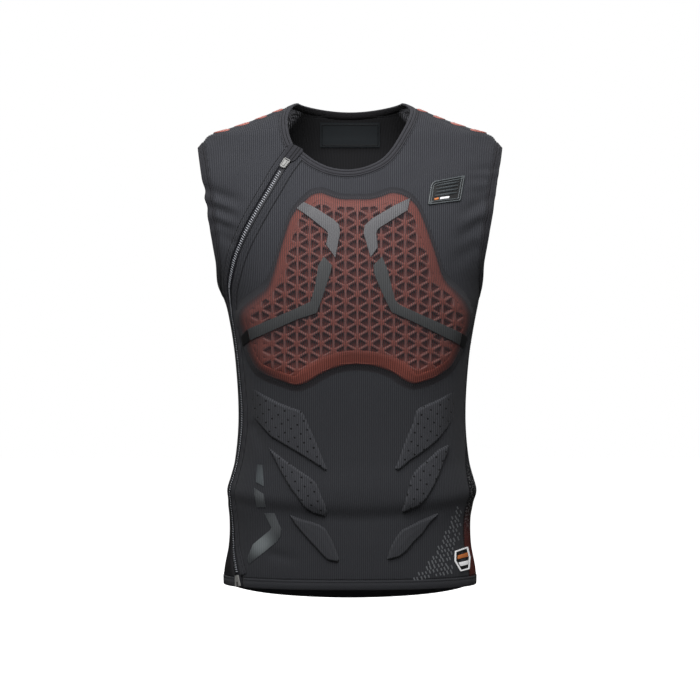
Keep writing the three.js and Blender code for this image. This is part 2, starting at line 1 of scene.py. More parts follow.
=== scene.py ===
# Visual model of a sleeveless protective vest, drawn over its CAD frame.
# Millimetres in the form functions, metres in the meshes. Front -Y, wearer's left +X, up +Z.
# Each piece is drawn on the torso form, at angles round the body (0 in front, 90 on the wearer's
# left) and levels up it.
import math
import bmesh
import bpy
import numpy as np
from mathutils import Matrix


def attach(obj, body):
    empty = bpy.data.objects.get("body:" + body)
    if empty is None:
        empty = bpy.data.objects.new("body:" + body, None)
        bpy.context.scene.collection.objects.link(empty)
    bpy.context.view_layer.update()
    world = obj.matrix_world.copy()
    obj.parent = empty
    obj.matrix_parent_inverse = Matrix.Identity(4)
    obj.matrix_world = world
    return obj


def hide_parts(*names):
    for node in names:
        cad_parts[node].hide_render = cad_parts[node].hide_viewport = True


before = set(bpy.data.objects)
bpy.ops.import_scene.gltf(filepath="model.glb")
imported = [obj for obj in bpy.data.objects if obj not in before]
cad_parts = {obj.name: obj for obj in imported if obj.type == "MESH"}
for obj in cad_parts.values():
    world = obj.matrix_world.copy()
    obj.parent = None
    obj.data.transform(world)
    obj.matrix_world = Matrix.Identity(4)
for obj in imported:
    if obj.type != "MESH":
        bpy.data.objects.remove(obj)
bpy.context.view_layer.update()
mm = 0.001


# Torso form: rows of height, half width, depth before and depth behind the shoulder line
torso = {
    "rows": [
        (-660, 164, 100, 108), (-602, 168, 101, 109), (-562, 161.5, 100, 107), (-526, 161, 99, 105),
        (-494, 166, 104, 102), (-450, 156, 101, 96), (-393, 151.5, 101, 92), (-320, 155.5, 106, 99),
        (-265, 163.5, 110, 106), (-224, 174, 111, 110), (-176, 196, 107, 111), (-126, 218, 97, 108),
        (-76, 226, 79, 100), (-40, 207, 62, 91), (-33, 201, 59, 89), (-26, 195, 56, 86),
        (-18, 187, 52, 82), (-10, 161, 48, 78), (0, 131.5, 42, 72), (12, 101.5, 33, 64),
        (24, 73, 22, 56), (30, 60, 18, 52),
    ],
    "hem": -615,
    "tailDrop": 31,
    "tailStart": -440,
    "tailRound": 0.27,
    "square": 0.35,
    "squared": (40, 176),
    "aside": 2.7,
    "asideFrom": (212, 250),
    "asideTo": (480, 530),
}
torsoTable = np.array(torso["rows"], float)

# Folds of the cloth seen from the front: two ends (x, z), half width and height (below 0 a valley)
folds = [
    ((-200, -90), (-132, -115), 8.0, -4.6),
    ((-196, -103), (-138, -125), 6.0, 1.6),
    ((-192, -112), (-138, -135), 7.5, -4.4),
    ((-186, -126), (-142, -146), 6.0, 1.4),
    ((-182, -134), (-142, -153), 7.5, -3.8),
    ((-176, -150), (-140, -172), 8.0, -2.6),
    ((200, -64), (146, -69), 6.0, -2.2),
    ((198, -79), (146, -80), 6.5, -2.6),
    ((194, -88), (150, -104), 7.0, -2.6),
    ((188, -100), (140, -133), 8.5, -4.0),
    ((184, -116), (138, -148), 8.0, 1.6),
    ((178, -134), (132, -166), 9.0, -3.6),
    ((170, -165), (128, -196), 10.0, -2.4),
    ((-108, -569), (-62, -578), 6.0, -1.6),
    ((-128, -398), (-112, -440), 7.0, -2.2),
]
# Crease over the hips, with waves of height, place above it and reach, and the relief of the back
hips = {"level": -519, "rise": 13, "middle": 10, "reach": 130, "bend": 1.6,
        "waves": [(0.8, 11, 9), (-1.3, -4, 8)]}
spine = {"depth": 4.5, "reach": 26, "top": (40, 130), "bottom": (-500, -380)}
blades = {"height": 4.0, "x": 78, "z": -125, "wide": 44, "high": 62}


# Smooth rise from 0 to 1 between two limits
def smoothStep(x, low, high):
    t = np.clip((x - low) / (high - low), 0, 1)
    return t * t * (3 - 2 * t)


# Cubic through the rows of one column of the torso table, held level beyond its ends
def sectionAt(column, z):
    heights, values = torsoTable[:, 0], torsoTable[:, column]
    last = len(heights) - 1
    numbers = np.arange(last + 1)
    below, above = np.maximum(numbers - 1, 0), np.minimum(numbers + 1, last)
    slope = (values[above] - values[below]) / (heights[above] - heights[below])
    i = np.clip(np.searchsorted(heights, z) - 1, 0, last - 1)
    span = heights[i + 1] - heights[i]
    t = np.clip((z - heights[i]) / span, 0, 1)
    start = values[i] * (1 + 2 * t) * (1 - t) ** 2 + slope[i] * span * t * (1 - t) ** 2
    return start + values[i + 1] * t * t * (3 - 2 * t) + slope[i + 1] * span * t * t * (t - 1)


# A section is an ellipse at the shoulders and squarer below the arms
def squareness(z):
    return 2 + torso["square"] * smoothStep(-z, *torso["squared"])


# The waist sits a little to the wearer's left
def asideAt(z):
    start, end = smoothStep(-z, *torso["asideFrom"]), smoothStep(-z, *torso["asideTo"])
    return torso["aside"] * start * (1 - end)


# Point of the outer wall: a superellipse at each height, the back of the hem hanging lower than
# its front
def formPoint(angle, level):
    angle, level = np.broadcast_arrays(np.asarray(angle, float), np.asarray(level, float))
    sine, cosine = np.sin(np.radians(angle)), np.cos(np.radians(angle))
    drop = torso["tailDrop"] * smoothStep(-level, -torso["tailStart"], -torso["hem"])
    behind = np.maximum(0, -cosine) ** 2
    z = level - drop * behind * (1 + torso["tailRound"]) / (behind + torso["tailRound"])
    power = squareness(z)
    depth = np.where(cosine > 0, sectionAt(2, z), sectionAt(3, z))
    across, along = np.abs(sine) / sectionAt(1, z), np.abs(cosine) / depth
    radius = (across ** power + along ** power) ** (-1 / power)
    return np.stack([radius * sine + asideAt(z), -radius * cosine, z], -1)


# Vectors brought to length 1
def unit(vectors):
    return vectors / np.maximum(np.linalg.norm(vectors, axis=-1, keepdims=True), 1e-12)


# Outward normal of the form, across small steps round it and up it
def formNormal(angle, level):
    around = formPoint(angle + 0.5, level) - formPoint(angle - 0.5, level)
    up = formPoint(angle, level + 0.5) - formPoint(angle, level - 0.5)
    return unit(np.cross(around, up))


# Outward relief of the cloth: bell-shaped ridges along the folds, the roll above the hip crease,
# and a back with a groove down the spine between two shoulder blades
def relief(points):
    x, y, z = points[..., 0], points[..., 1], points[..., 2]
    ahead = smoothStep(-y, -8, 12)
    total = np.zeros(x.shape)
    for (startX, startZ), (endX, endZ), width, height in folds:
        runX, runZ = endX - startX, endZ - startZ
        length = math.hypot(runX, runZ)
        along = ((x - startX) * runX + (z - startZ) * runZ) / length
        across = ((x - startX) * -runZ + (z - startZ) * runX) / length
        ends = smoothStep(along, -4, 8) * smoothStep(length - along, -6, length * 0.6)
        total = total + height * ends * np.exp(-(across / width) ** 2) * ahead
    aside = np.abs(x - hips["middle"]) / hips["reach"]
    crease = hips["level"] + hips["rise"] * aside ** hips["bend"]
    for height, up, reach in hips["waves"]:
        total = total + height * np.exp(-((z - crease - up) / reach) ** 2)
    groove = np.exp(-(x / spine["reach"]) ** 2)
    groove = groove * smoothStep(-z, *spine["top"]) * smoothStep(z, *spine["bottom"])
    offX, offZ = (np.abs(x) - blades["x"]) / blades["wide"], (z - blades["z"]) / blades["high"]
    rise = blades["height"] * np.exp(-offX ** 2 - offZ ** 2) - spine["depth"] * groove
    return total + smoothStep(y, 20, 70) * rise


# Point of the cloth, lifted off it along the form's normal
def skin(angle, level, lift=0.0):
    points = formPoint(angle, level)
    return points + formNormal(angle, level) * (relief(points) + lift)[..., None]


# Angle and level of the wall point seen at x, z from the front (side -1) or from behind (side 1)
def seenAt(x, z, side=-1):
    x, z = np.broadcast_arrays(np.asarray(x, float), np.asarray(z, float))
    x, power = x - asideAt(z), squareness(z)
    share = np.minimum(1, np.abs(x) / sectionAt(1, z))
    y = sectionAt(2 if side < 0 else 3, z) * (1 - share ** power) ** (1 / power)
    return np.degrees(np.arctan2(x, -side * y)), z


# Points of the cloth at x, z places seen from the front
def frontSkin(spots, lift=0.0):
    return skin(*seenAt(spots[..., 0], spots[..., 1]), lift)


# Centripetal Catmull-Rom curve through the rows, in even steps of its parameter; open ends are
# mirrored
def curvePoints(rows, count, closed=False):
    rows = np.asarray(rows, float)
    if closed:
        points = np.vstack([rows[-1:], rows, rows[:2]])
    else:
        points = np.vstack([2 * rows[0] - rows[1], rows, 2 * rows[-1] - rows[-2]])
    spans = len(points) - 3
    place = np.linspace(0, spans, count + 1)[:count if closed else count + 1]
    i = np.minimum(place.astype(int), spans - 1)
    t = (place - i)[:, None]
    a, b, c, d = (points[i + n] for n in range(4))
    gaps = (b - a, c - b, d - c)
    before, here, after = (np.linalg.norm(gap, axis=1)[:, None] ** 0.5 for gap in gaps)
    start = ((b - a) / before - (c - a) / (before + here) + (c - b) / here) * here
    end = ((c - b) / here - (d - b) / (here + after) + (d - c) / after) * here
    ease = t * t * (3 - 2 * t)
    return b * (1 - ease) + c * ease + start * t * (1 - t) ** 2 - end * t * t * (1 - t)


# The line moved sideways over the wall: a positive distance goes to the right of its run, seen
# from outside
def movedLine(angle, level, distance, closed=False):
    points = formPoint(angle, level)
    if closed:
        loop = points[:-1]
        run = np.roll(loop, -1, 0) - np.roll(loop, 1, 0)
        run = np.vstack([run, run[:1]])
    else:
        run = np.vstack([points[1:2] - points[:1], points[2:] - points[:-2],
                         points[-1:] - points[-2:-1]])
    aside = unit(np.cross(unit(run), formNormal(angle, level)))
    moved = points + aside * distance
    turned = np.degrees(np.arctan2(moved[:, 0] - asideAt(moved[:, 2]), -moved[:, 1]))
    return turned + 360 * np.round((angle - turned) / 360), moved[:, 2]


# Distance along a line of points from its first one
def lengthAlong(points):
    return np.r_[0, np.cumsum(np.linalg.norm(np.diff(points, axis=0), axis=1))]


# Two values at each point, spread over one grid
def paired(first, second):
    return np.stack(np.broadcast_arrays(first, second), -1)


# Points of a line of x, z at the given places along it
def pointsAt(line, along, places):
    return np.stack([np.interp(places, along, line[:, n]) for n in (0, 1)], -1)


# Points on a closed line, evenly spaced
def evened(outline, count):
    loop = np.vstack([outline, outline[:1]])
    along = lengthAlong(loop)
    return pointsAt(loop, along, np.linspace(0, along[-1], count + 1)[:count])


# Points on an open line at the given shares of its length
def spread(line, shares):
    line = np.asarray(line, float)
    along = lengthAlong(line)
    return pointsAt(line, along, shares * along[-1])


# Points on an open line, in even steps from each of its corners to the next
def stepped(line, count):
    line = np.asarray(line, float)
    return pointsAt(line, np.arange(len(line)), np.linspace(0, len(line) - 1, count + 1))


# Directions into a closed outline that runs anticlockwise
def inwardOf(outline):
    run = unit(np.roll(outline, -1, 0) - np.roll(outline, 1, 0))
    return np.stack([-run[:, 1], run[:, 0]], -1)


# Distance round the body from the front middle at each level, as a table for the ribs of the knit
arcStep = 5.0
arcAngles = np.arange(0, 181, 1.0)
arcLevels = np.arange(-660, 41, arcStep)
arcGrid = formPoint(arcAngles[None, :], arcLevels[:, None])
arcSteps = np.linalg.norm(np.diff(arcGrid[..., :2], axis=1), axis=2)
arcTable = np.hstack([np.zeros((len(arcLevels), 1)), np.cumsum(arcSteps, 1)])


# That distance, read from the table between its rows and columns
def arcAt(angle, level):
    a = np.clip(np.abs(angle), 0, 179.999)
    b = np.clip((level - arcLevels[0]) / arcStep, 0, len(arcLevels) - 1.001)
    i, j = b.astype(int), a.astype(int)
    low = arcTable[i, j] * (1 - (a - j)) + arcTable[i, j + 1] * (a - j)
    high = arcTable[i + 1, j] * (1 - (a - j)) + arcTable[i + 1, j + 1] * (a - j)
    return np.sign(angle) * (low * (1 - (b - i)) + high * (b - i))


# Angle at a distance round the body, by Newton steps from the same distance seen from the front
def angleOfArc(arc, level):
    arc, level = np.broadcast_arrays(np.asarray(arc, float), np.asarray(level, float))
    angle = seenAt(np.clip(arc, -150, 150) * 0.9, level)[0]
    for _ in range(8):
        slope = np.maximum(arcAt(angle + 0.5, level) - arcAt(angle - 0.5, level), 0.2)
        angle = angle + np.clip((arc - arcAt(angle, level)) / slope, -15, 15)
        angle = np.clip(angle, -120, 120)
    return angle


# Distance from x, z places to the nearest side of a closed outline, positive inside it
def edgeDistance(spots, outline):
    points = spots.reshape(-1, 2)
    run = np.roll(outline, -1, 0) - outline
    ends = outline[:, 1] + run[:, 1]
    size = (run ** 2).sum(1)
    rise = np.where(run[:, 1] == 0, 1e-9, run[:, 1])
    found = []
    for block in np.array_split(points, max(1, len(points) // 3000)):
        offset = block[:, None] - outline[None]
        share = np.clip((offset * run).sum(-1) / size, 0, 1)
        gap = np.linalg.norm(offset - share[..., None] * run, axis=-1).min(1)
        height = block[:, 1:2]
        spanned = (outline[:, 1] > height) != (ends > height)
        edge = outline[:, 0] + (height - outline[:, 1]) / rise * run[:, 0]
        crossed = spanned & (block[:, :1] < edge)
        found.append(np.where(crossed.sum(1) % 2 == 1, gap, -gap))
    return np.concatenate(found).reshape(spots.shape[:-1])


print("form ready")


# Points, faces and cloth coordinates of one piece, gathered grid by grid
class Shape:
    def __init__(self):
        self.points, self.cloth, self.faces, self.count = [], [], [], 0

    # Points with their faces; where no cloth is given, it is x and z
    def add(self, points, faces, cloth=None):
        flat = points.reshape(-1, 3)
        self.points.append(flat)
        self.cloth.append(flat[:, [0, 2]] if cloth is None else cloth.reshape(-1, 2))
        self.faces += [group + self.count for group in faces]
        self.count += len(flat)

    # A grid of points; across and along close it on itself, caps close the ends of a profile
    def grid(self, points, cloth=None, across=False, along=False, caps=False):
        rows, columns = points.shape[:2]
        i, j = np.meshgrid(np.arange(rows - (not along)), np.arange(columns - (not across)),
                           indexing="ij")
        up, right = (i + 1) % rows, (j + 1) % columns
        corners = [i * columns + j, i * columns + right, up * columns + right, up * columns + j]
        faces = [np.stack(corners, -1).reshape(-1, 4)]
        if caps:
            ring = np.arange(columns)
            faces += [ring[None, ::-1], (rows - 1) * columns + ring[None]]
        self.add(points, faces, cloth)

    # Copies of a small shape, each at a place with its own three axes
    def copies(self, local, faces, places, axes):
        points = places[:, None] + np.einsum("kj,njc->nkc", local, axes)
        starts = np.arange(len(places))[:, None, None] * len(local)
        self.add(points, [(group[None] + starts).reshape(-1, group.shape[1]) for group in faces])

    # The gathered shape as one object on the frame, with the nodes that it replaces; its slot name
    # is not used
    def piece(self, name, finish, slotName, *nodes, weld=False, turn=False, wall=0.0, sharp=None,
              opacity=None):
        points, cloth = np.concatenate(self.points), np.concatenate(self.cloth)
        mesh = bpy.data.meshes.new(name)
        lists = [face for group in self.faces for face in group.tolist()]
        mesh.from_pydata((points * mm).tolist(), [], lists)
        layer = mesh.uv_layers.new(name="cloth")
        corners = np.empty(len(mesh.loops), np.int32)
        mesh.loops.foreach_get("vertex_index", corners)
        layer.data.foreach_set("uv", (cloth * mm)[corners].ravel())
        if weld or turn:
            work = bmesh.new()
            work.from_mesh(mesh)
            if weld:
                bmesh.ops.remove_doubles(work, verts=work.verts, dist=2e-6)
                bmesh.ops.dissolve_degenerate(work, edges=work.edges, dist=1e-7)
            if turn:
                bmesh.ops.recalc_face_normals(work, faces=work.faces)
            work.to_mesh(mesh)
            work.free()
        mesh.validate()
        mesh.shade_smooth()
        if opacity is not None:
            share = mesh.attributes.new("opacity", "FLOAT", "POINT")
            share.data.foreach_set("value", opacity.ravel())
        if sharp:
            mesh.set_sharp_from_angle(angle=math.radians(sharp))
        mesh.materials.append(finish.material)
        made = bpy.data.objects.new(name, mesh)
        bpy.context.scene.collection.objects.link(made)
        if wall:
            mesh.materials.append(shadedLiner.material)
            solid = made.modifiers.new("wall", "SOLIDIFY")
            solid.thickness = wall * mm
            solid.offset = -1
            solid.material_offset = 1
        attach(made, "root")
        if nodes:
            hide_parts(*nodes)
        return made


# A shader value; arithmetic on it adds Math nodes
class Wire:
    def __init__(self, finish, socket):
        self.finish, self.socket = finish, socket

    # A Math node on this value and others
    def math(self, operation, *others):
        return self.finish.add("ShaderNodeMath", {"operation": operation}, [self, *others])

    def __add__(self, other):
        return self.math("ADD", other)

    def __sub__(self, other):
        return self.math("SUBTRACT", other)

    def __rsub__(self, other):
        return self.finish.add("ShaderNodeMath", {"operation": "SUBTRACT"}, [other, self])

    def __mul__(self, other):
        return self.math("MULTIPLY", other)

    def __truediv__(self, other):
        return self.math("DIVIDE", other)

    def __pow__(self, other):
        return self.math("POWER", other)

    __radd__ = __add__
    __rmul__ = __mul__

    # Cosine wave between 0 and 1, one for each unit of the value
    def wave(self):
        return (self * (2 * math.pi)).math("COSINE") * 0.5 + 0.5

    # Distance to the nearest whole number
    def fromWhole(self):
        return (self - self.math("ROUND")).math("ABSOLUTE")

    # Smooth rise from 0 to 1 between two values
    def step(self, low, high):
        settings = {"interpolation_type": "SMOOTHSTEP"}
        return self.finish.add("ShaderNodeMapRange", settings, [self, low, high, 0.0, 1.0])


# A material: constants go straight to its shader, varying values through wires
class Finish:
    def __init__(self, name, **constants):
        self.material = bpy.data.materials.new(name)
        self.material.use_nodes = True
        self.tree = self.material.node_tree
        self.shader = self.tree.nodes["Principled BSDF"]
        self.set(**constants)

    # Values or wires by socket name, with _ for a space
    def set(self, **values):
        for key, value in values.items():
            socket = self.shader.inputs[key.replace("_", " ")]
            if isinstance(value, Wire):
                self.tree.links.new(value.socket, socket)
            else:
                socket.default_value = value

    # A node of a type: its settings first, then the values or links of its sockets
    def add(self, kind, settings, inputs, output=0):
        node = self.tree.nodes.new(kind)
        for key, value in settings.items():
            setattr(node, key, value)
        for key, value in (inputs.items() if isinstance(inputs, dict) else enumerate(inputs)):
            if isinstance(value, Wire):
                self.tree.links.new(value.socket, node.inputs[key])
            else:
                node.inputs[key].default_value = value
        return Wire(self, node.outputs[output])

    # Cloth coordinates in millimetres
    def cloth(self):
        place = self.add("ShaderNodeUVMap", {"uv_map": "cloth"}, [])
        return [self.add("ShaderNodeSeparateXYZ", {}, [place], n) * 1000 for n in (0, 1)]

    # Noise on the piece's own coordinates
    def noise(self, scale, detail=2.0):
        place = self.add("ShaderNodeTexCoord", {}, [], 3)
        inputs = {"Vector": place, "Scale": scale, "Detail": detail}
        return self.add("ShaderNodeTexNoise", {}, inputs)

    # Mix of two colours, each a wire or three 8-bit values
    def blend(self, share, low, high):
        low, high = (part if isinstance(part, Wire) else shade(*part) for part in (low, high))
        return self.add("ShaderNodeMix", {"data_type": "RGBA"}, {0: share, 6: low, 7: high}, 2)

    # Height in millimetres of distance, felt by the light only
    def bump(self, height, distance):
        inputs = {"Strength": 1.0, "Distance": distance * mm, "Height": height}
        self.set(Normal=self.add("ShaderNodeBump", {}, inputs))


# Linear colour from 8-bit values
def shade(red, green, blue):
    values = [value / 255 for value in (red, green, blue)]
    return [v / 12.92 if v <= 0.04045 else ((v + 0.055) / 1.055) ** 2.4 for v in values] + [1.0]


ribPitch = 2.7
meshPitch = 3.4


# Ribbed knit: ribs along v at their pitch, each built of small slanting loops; dots are a
# staggered lattice of pinholes, near black, painted shade inside the holes. Lower down the body
# ridge and groove turn into those of low, a painted shade for the weaker light there, and into
# those of the plain knit over a fade along u. Beside the neck a painted glow on the ribs stands
# in for light coming through the stretched knit. On a sheer cover a painted shade dulls its slope
# beyond the pad's upper edge.
def knitFinish(name, ridge, groove, depth=0.3, dots=None, sheer=False, low=None, fade=None,
               corners=None):
    made = Finish(name, Roughness=0.92, Sheen_Weight=0.08, Sheen_Roughness=0.5)
    made.set(Specular_IOR_Level=0.25)
    u, v = made.cloth()
    phase = u / ribPitch
    rib = phase.wave()
    loops = (v / 1.5 + phase.fromWhole() * 1.3).wave()
    patch = made.noise(38.0, 3.0)
    fuzz = made.noise(1900.0, 1.0)
    mask = rib * (loops * 0.3 + 0.7) * (fuzz * 0.7 + 0.65)
    ribbed = mask.step(0.05, 0.95)
    colour = made.blend(ribbed, groove, ridge)
    # Painted shade: lower down the body ridge and groove darken to those of low
    if low:
        colour = made.blend(v.step(-420.0, -200.0), made.blend(ribbed, low[1], low[0]), colour)
    if fade:
        start, end = fade["along"]
        plain = made.blend(ribbed, fade["plain"][1], fade["plain"][0])
        colour = made.blend(((u - start) / (end - start)).step(0.0, 1.0), plain, colour)
    # Painted light: a patchy glow on the ribs beside the neck, as if lit through the knit
    if corners:
        aside = u.math("ABSOLUTE")
        share = (aside * 1.36 + v).step(70.0, 82.0) * v.step(-10.0, 2.0)
        share = share * (1 - aside.step(76.0, 90.0))
        glowPatches = made.noise(240.0).step(0.3, 0.6)
        lit = made.blend(share * rib.step(0.5, 0.95) * glowPatches, (0, 0, 0), corners)
        made.set(Emission_Color=lit, Emission_Strength=1.0)
    colour = made.blend((patch - 0.35) * 0.5, colour, groove)
    height = rib + loops * 0.22 + fuzz * 0.15
    # Pinholes: near-black dots, painted shade inside the holes
    if dots:
        (stepX, stepZ), (sideX, sideZ), size = dots["along"], dots["aside"], dots["size"]
        area = stepX * sideZ - stepZ * sideX
        first = ((u * sideZ - v * sideX) / area).math("FRACT") - 0.5
        second = ((v * stepX - u * stepZ) / area).math("FRACT") - 0.5
        offX, offZ = first * stepX + second * sideX, first * stepZ + second * sideZ
        hole = 1 - ((offX ** 2 + offZ ** 2) ** 0.5).step(size * 0.35, size * 0.65)
        colour = made.blend(hole * 0.85, colour, (8, 8, 9))
        height = height - hole * 1.5
    if sheer:
        opacity = made.add("ShaderNodeAttribute", {"attribute_name": "opacity"}, [], 2)
        # Painted shade on the opaque slope beyond the pad's upper part, dulling its caught light
        margin = opacity.step(0.86, 1.0) * v.step(-310.0, -240.0)
        colour = made.blend(margin, colour, (50, 50, 54))
        made.set(Alpha=(opacity + (rib - 0.5) * 0.42 * (1 - opacity) * 2).math("MINIMUM", 1.0))
    made.set(Base_Color=colour)
    made.bump(height, depth)
    return made


# Woven tape: a fine diagonal twill, with dark lines along it, painted shade in its grooves and at
# its seam; a dark lip at the edge of the cloth, painted shade on the rolled edge; and a dark
# inside, painted shade on the same tape inside the vest
def twillFinish(name, light, dark, pitch=1.3, rough=0.85, lines=(), lip=0.0, inside=None):
    made = Finish(name, Roughness=rough, Sheen_Weight=0.1, Specular_IOR_Level=0.3)
    u, v = made.cloth()
    twill = ((u + v) / pitch).wave() * ((u - v) / pitch).wave()
    fuzz = made.noise(1500.0, 1.0)
    colour = made.blend(twill * (fuzz * 0.8 + 0.5), dark, light)
    # Painted shade: dark lines in the grooves and at the seam
    for place in lines:
        line = 1 - (u - place).math("ABSOLUTE").step(0.35, 1.05)
        colour = made.blend(line * 0.9, colour, (14, 14, 16))
    # Painted shade on the rolled edge of the cloth
    if lip:
        colour = made.blend(1 - u.step(lip * 0.75, lip), colour, (16, 16, 18))
    # Painted shade: the inside of the tape is darker
    if inside:
        colour = made.blend(u.step(inside, inside + 0.8), colour, (38, 37, 40))
    made.set(Base_Color=colour)
    made.bump(twill + fuzz * 0.3, 0.25)
    return made


# Open mesh: pale threads round dark openings in a staggered lattice; low down a red-brown lining
# shows in them
def meshFinish(name, thread, shadow, lining):
    made = Finish(name, Roughness=0.8, Specular_IOR_Level=0.3)
    u, v = made.cloth()
    across, up = u / meshPitch, v / meshPitch
    first = (across.fromWhole() ** 2 + up.fromWhole() ** 2) ** 0.5
    second = ((across + 0.5).fromWhole() ** 2 + (up + 0.5).fromWhole() ** 2) ** 0.5
    hole = 1 - first.math("MINIMUM", second).step(0.24, 0.36)
    fuzz = made.noise(1500.0, 1.0)
    streaks = made.add("ShaderNodeCombineXYZ", {}, [u * 0.16, v * 0.42])
    inputs = {"Vector": streaks, "Scale": 1.0, "Detail": 2.0}
    streaks = made.add("ShaderNodeTexNoise", {}, inputs)
    seen = made.blend(v.step(-545.0, -505.0), lining, shadow)
    threads = made.blend(streaks.step(0.46, 0.62), (30, 30, 33), thread)
    threads = made.blend(v.step(-560.0, -525.0), seen, threads)
    high = v.step(-475.0, -440.0)
    seen, threads = made.blend(high, seen, (50, 51, 55)), made.blend(high, threads, (74, 75, 80))
    made.set(Base_Color=made.blend(hole, threads, seen))
    made.bump(1 - hole + fuzz * 0.2, 0.8)
    return made


# Transfer film: satin, with the ribs of the knit pressed through and a fine grain; glints are
# paler round spots of x, z, reach, share and colour
def filmFinish(name, light, dark, rough, metal=0.0, glints=()):
    made = Finish(name, Metallic=metal, Specular_IOR_Level=0.5)
    u, v = made.cloth()
    rib = (u / ribPitch).wave()
    grain = made.noise(2600.0, 2.0)
    weave = (u / 0.9).wave() * (v / 0.9).wave()
    tone = (rib * 0.35 + grain * 0.75 + weave * 0.25).step(0.2, 1.15)
    colour = made.blend(tone, dark, light)
    for x, z, reach, share, paler in glints:
        far = ((u - x) ** 2 + (v - z) ** 2) ** 0.5
        glint = (1 - far.step(reach * 0.1, reach)) * share * (tone * 0.4 + 0.6)
        colour = made.blend(glint, colour, paler)
    made.set(Base_Color=colour, Roughness=grain * 0.2 + rough)
    made.bump(rib + grain * 0.3, 0.22)
    return made


# Plain finish with a fine grain in its colour, roughness and height
def grainFinish(name, light, dark, rough, scale=900.0, depth=0.12, **constants):
    made = Finish(name, **constants)
    grain = made.noise(scale, 2.0)
    made.set(Base_Color=made.blend(grain, dark, light), Roughness=grain * 0.15 + rough)
    made.bump(grain, depth)
    return made


# Foam of the lattice: red at the nodes, which stand in columns half a pitch apart, and paler and
# greyer along the bars, a painted highlight of the cover's sheen on the raised bars
def latticeFinish(name, node, bar):
    made = Finish(name, Roughness=0.6)
    u, v = made.cloth()
    startX, startZ = chestPad["node"]
    wide, high = chestPad["barPitch"] * 2, chestPad["nodePitch"]
    near = []
    for column in (0, 0.5):
        x = ((u - startX) / wide - column).fromWhole() * wide
        z = ((v - startZ) / high - column).fromWhole() * high
        near.append((x ** 2 + z ** 2) ** 0.5)
    share = near[0].math("MINIMUM", near[1]).step(2.5, 6.5)
    grain = made.noise(700.0)
    # Paler, greyer bars: a painted highlight
    colour = made.blend(share, node, bar)
    made.set(Base_Color=made.blend(grain * 0.3, colour, (140, 76, 66)))
    made.bump(grain, 0.12)
    return made


# Chest pad: its outline, and a triangular lattice inside a border
chestPad = {
    "outline": [
        (6, -109.5), (-13, -109), (-26, -105), (-38, -101), (-50, -104), (-59, -112), (-68, -121),
        (-76.5, -133.5), (-82, -148.5), (-91.5, -179), (-100.5, -207.5), (-107.5, -222.5),
        (-118.5, -231), (-128.5, -238), (-138, -246), (-143, -253.5), (-144.5, -261), (-143, -272),
        (-139, -284), (-132, -309), (-126.5, -321), (-119, -331), (-105.5, -339), (-87, -345.5),
        (-69, -350.5), (-55, -346.5), (-40, -337.5), (-25, -330), (-6.5, -324.5), (10, -323.5),
        (28, -325), (44, -329.5), (56.5, -335), (70, -344), (82, -348.5), (92, -346.5),
        (107, -341.5), (120.5, -334), (131.5, -325), (138, -314), (147, -295.5), (151.5, -284.5),
        (155.5, -273.5), (157, -260), (156, -252.5), (152.5, -244.5), (148, -237), (141, -230),
        (133.5, -223), (125, -216.5), (119, -206.5), (110, -178), (99.5, -148), (94, -133.5),
        (88, -120.5), (82, -113), (74, -106.5), (64, -102), (53, -101), (41, -105.5), (28, -109),
    ],
    "top": 9.9,
    "border": (12.5, 19.0),
    "barPitch": 15.2,
    "nodePitch": 18.05,
    "node": (9.5, -178.6),
    "bar": 3.1,
    "bars": (-11, 12),
    "nodes": (-11, 8),
    "thin": 0.36,
    "thinned": (-2, 22),
    "hollowEnds": (-120, 138),
    "hollowCorners": (14, 12),
    "floor": (3.0, 6.0),
}
# Darker knit low down the body and at the pads' outer ends: painted shade
shadedLowKnit = ((66, 67, 71), (51, 52, 56))
knit = knitFinish("knit", (76, 77, 82), (51, 52, 57), low=shadedLowKnit)
# Inside face: the same knit, darker as painted shade, with a painted glow beside the neck
shadedLiner = knitFinish("shadedLiner", (46, 46, 49), (41, 41, 43), depth=0.15, corners=(98, 98, 102))
coverKnit = knitFinish("cover_knit", (72, 70, 74), (58, 56, 60), depth=0.2, sheer=True)
padKnits = {}
for word, sign, along in (("right", 1, (-128, -98)), ("left", -1, (138, 108))):
    pinholes = {"along": (sign * 12.2, -6.4), "aside": (sign * 4.2, -11.6), "size": 2.4}
    padKnits[word] = knitFinish("pad_knit_" + word, (82, 83, 88), (58, 59, 63), depth=0.4,
                                dots=pinholes, fade={"along": along, "plain": shadedLowKnit})
lowPadKnit = knitFinish("low_pad_knit", (74, 75, 79), (58, 59, 63))
tapeTwill = twillFinish("tape_twill", (30, 31, 40), (16, 17, 23), pitch=0.9, rough=0.7)
meshRed = meshFinish("left_mesh", (168, 168, 170), (20, 20, 22), (112, 56, 50))
meshDark = meshFinish("right_mesh", (84, 84, 88), (22, 22, 24), (38, 37, 40))
foam = latticeFinish("foam", (186, 100, 85), (184, 122, 114))
foamFloor = grainFinish("foam_floor", (158, 84, 72), (136, 70, 58), 0.7)
slotFoam = grainFinish("slot_foam", (190, 116, 104), (168, 94, 84), 0.5)
silver = filmFinish("silver_film", (120, 120, 123), (80, 79, 82), 0.45, 0.05)
darkFilm = filmFinish("dark_film", (87, 89, 90), (54, 55, 57), 0.45, 0.05)
hipGlints = [(-117, -557, 26, 0.8, (160, 168, 170)), (-117, -470, 24, 0.4, (120, 130, 134)),
             (-117, -498, 20, 0.5, (124, 128, 130)), (-102, -529, 26, 0.45, (124, 128, 130))]
hipFilm = filmFinish("hip_film", (80, 84, 87), (56, 58, 61), 0.4, 0.05, hipGlints)
# Pale rubber for the badge's rims and ribs, partly a painted highlight
rubberAndHighlight = grainFinish("rubberAndHighlight", (98, 104, 107), (76, 81, 84), 0.35, Coat_Weight=0.3)
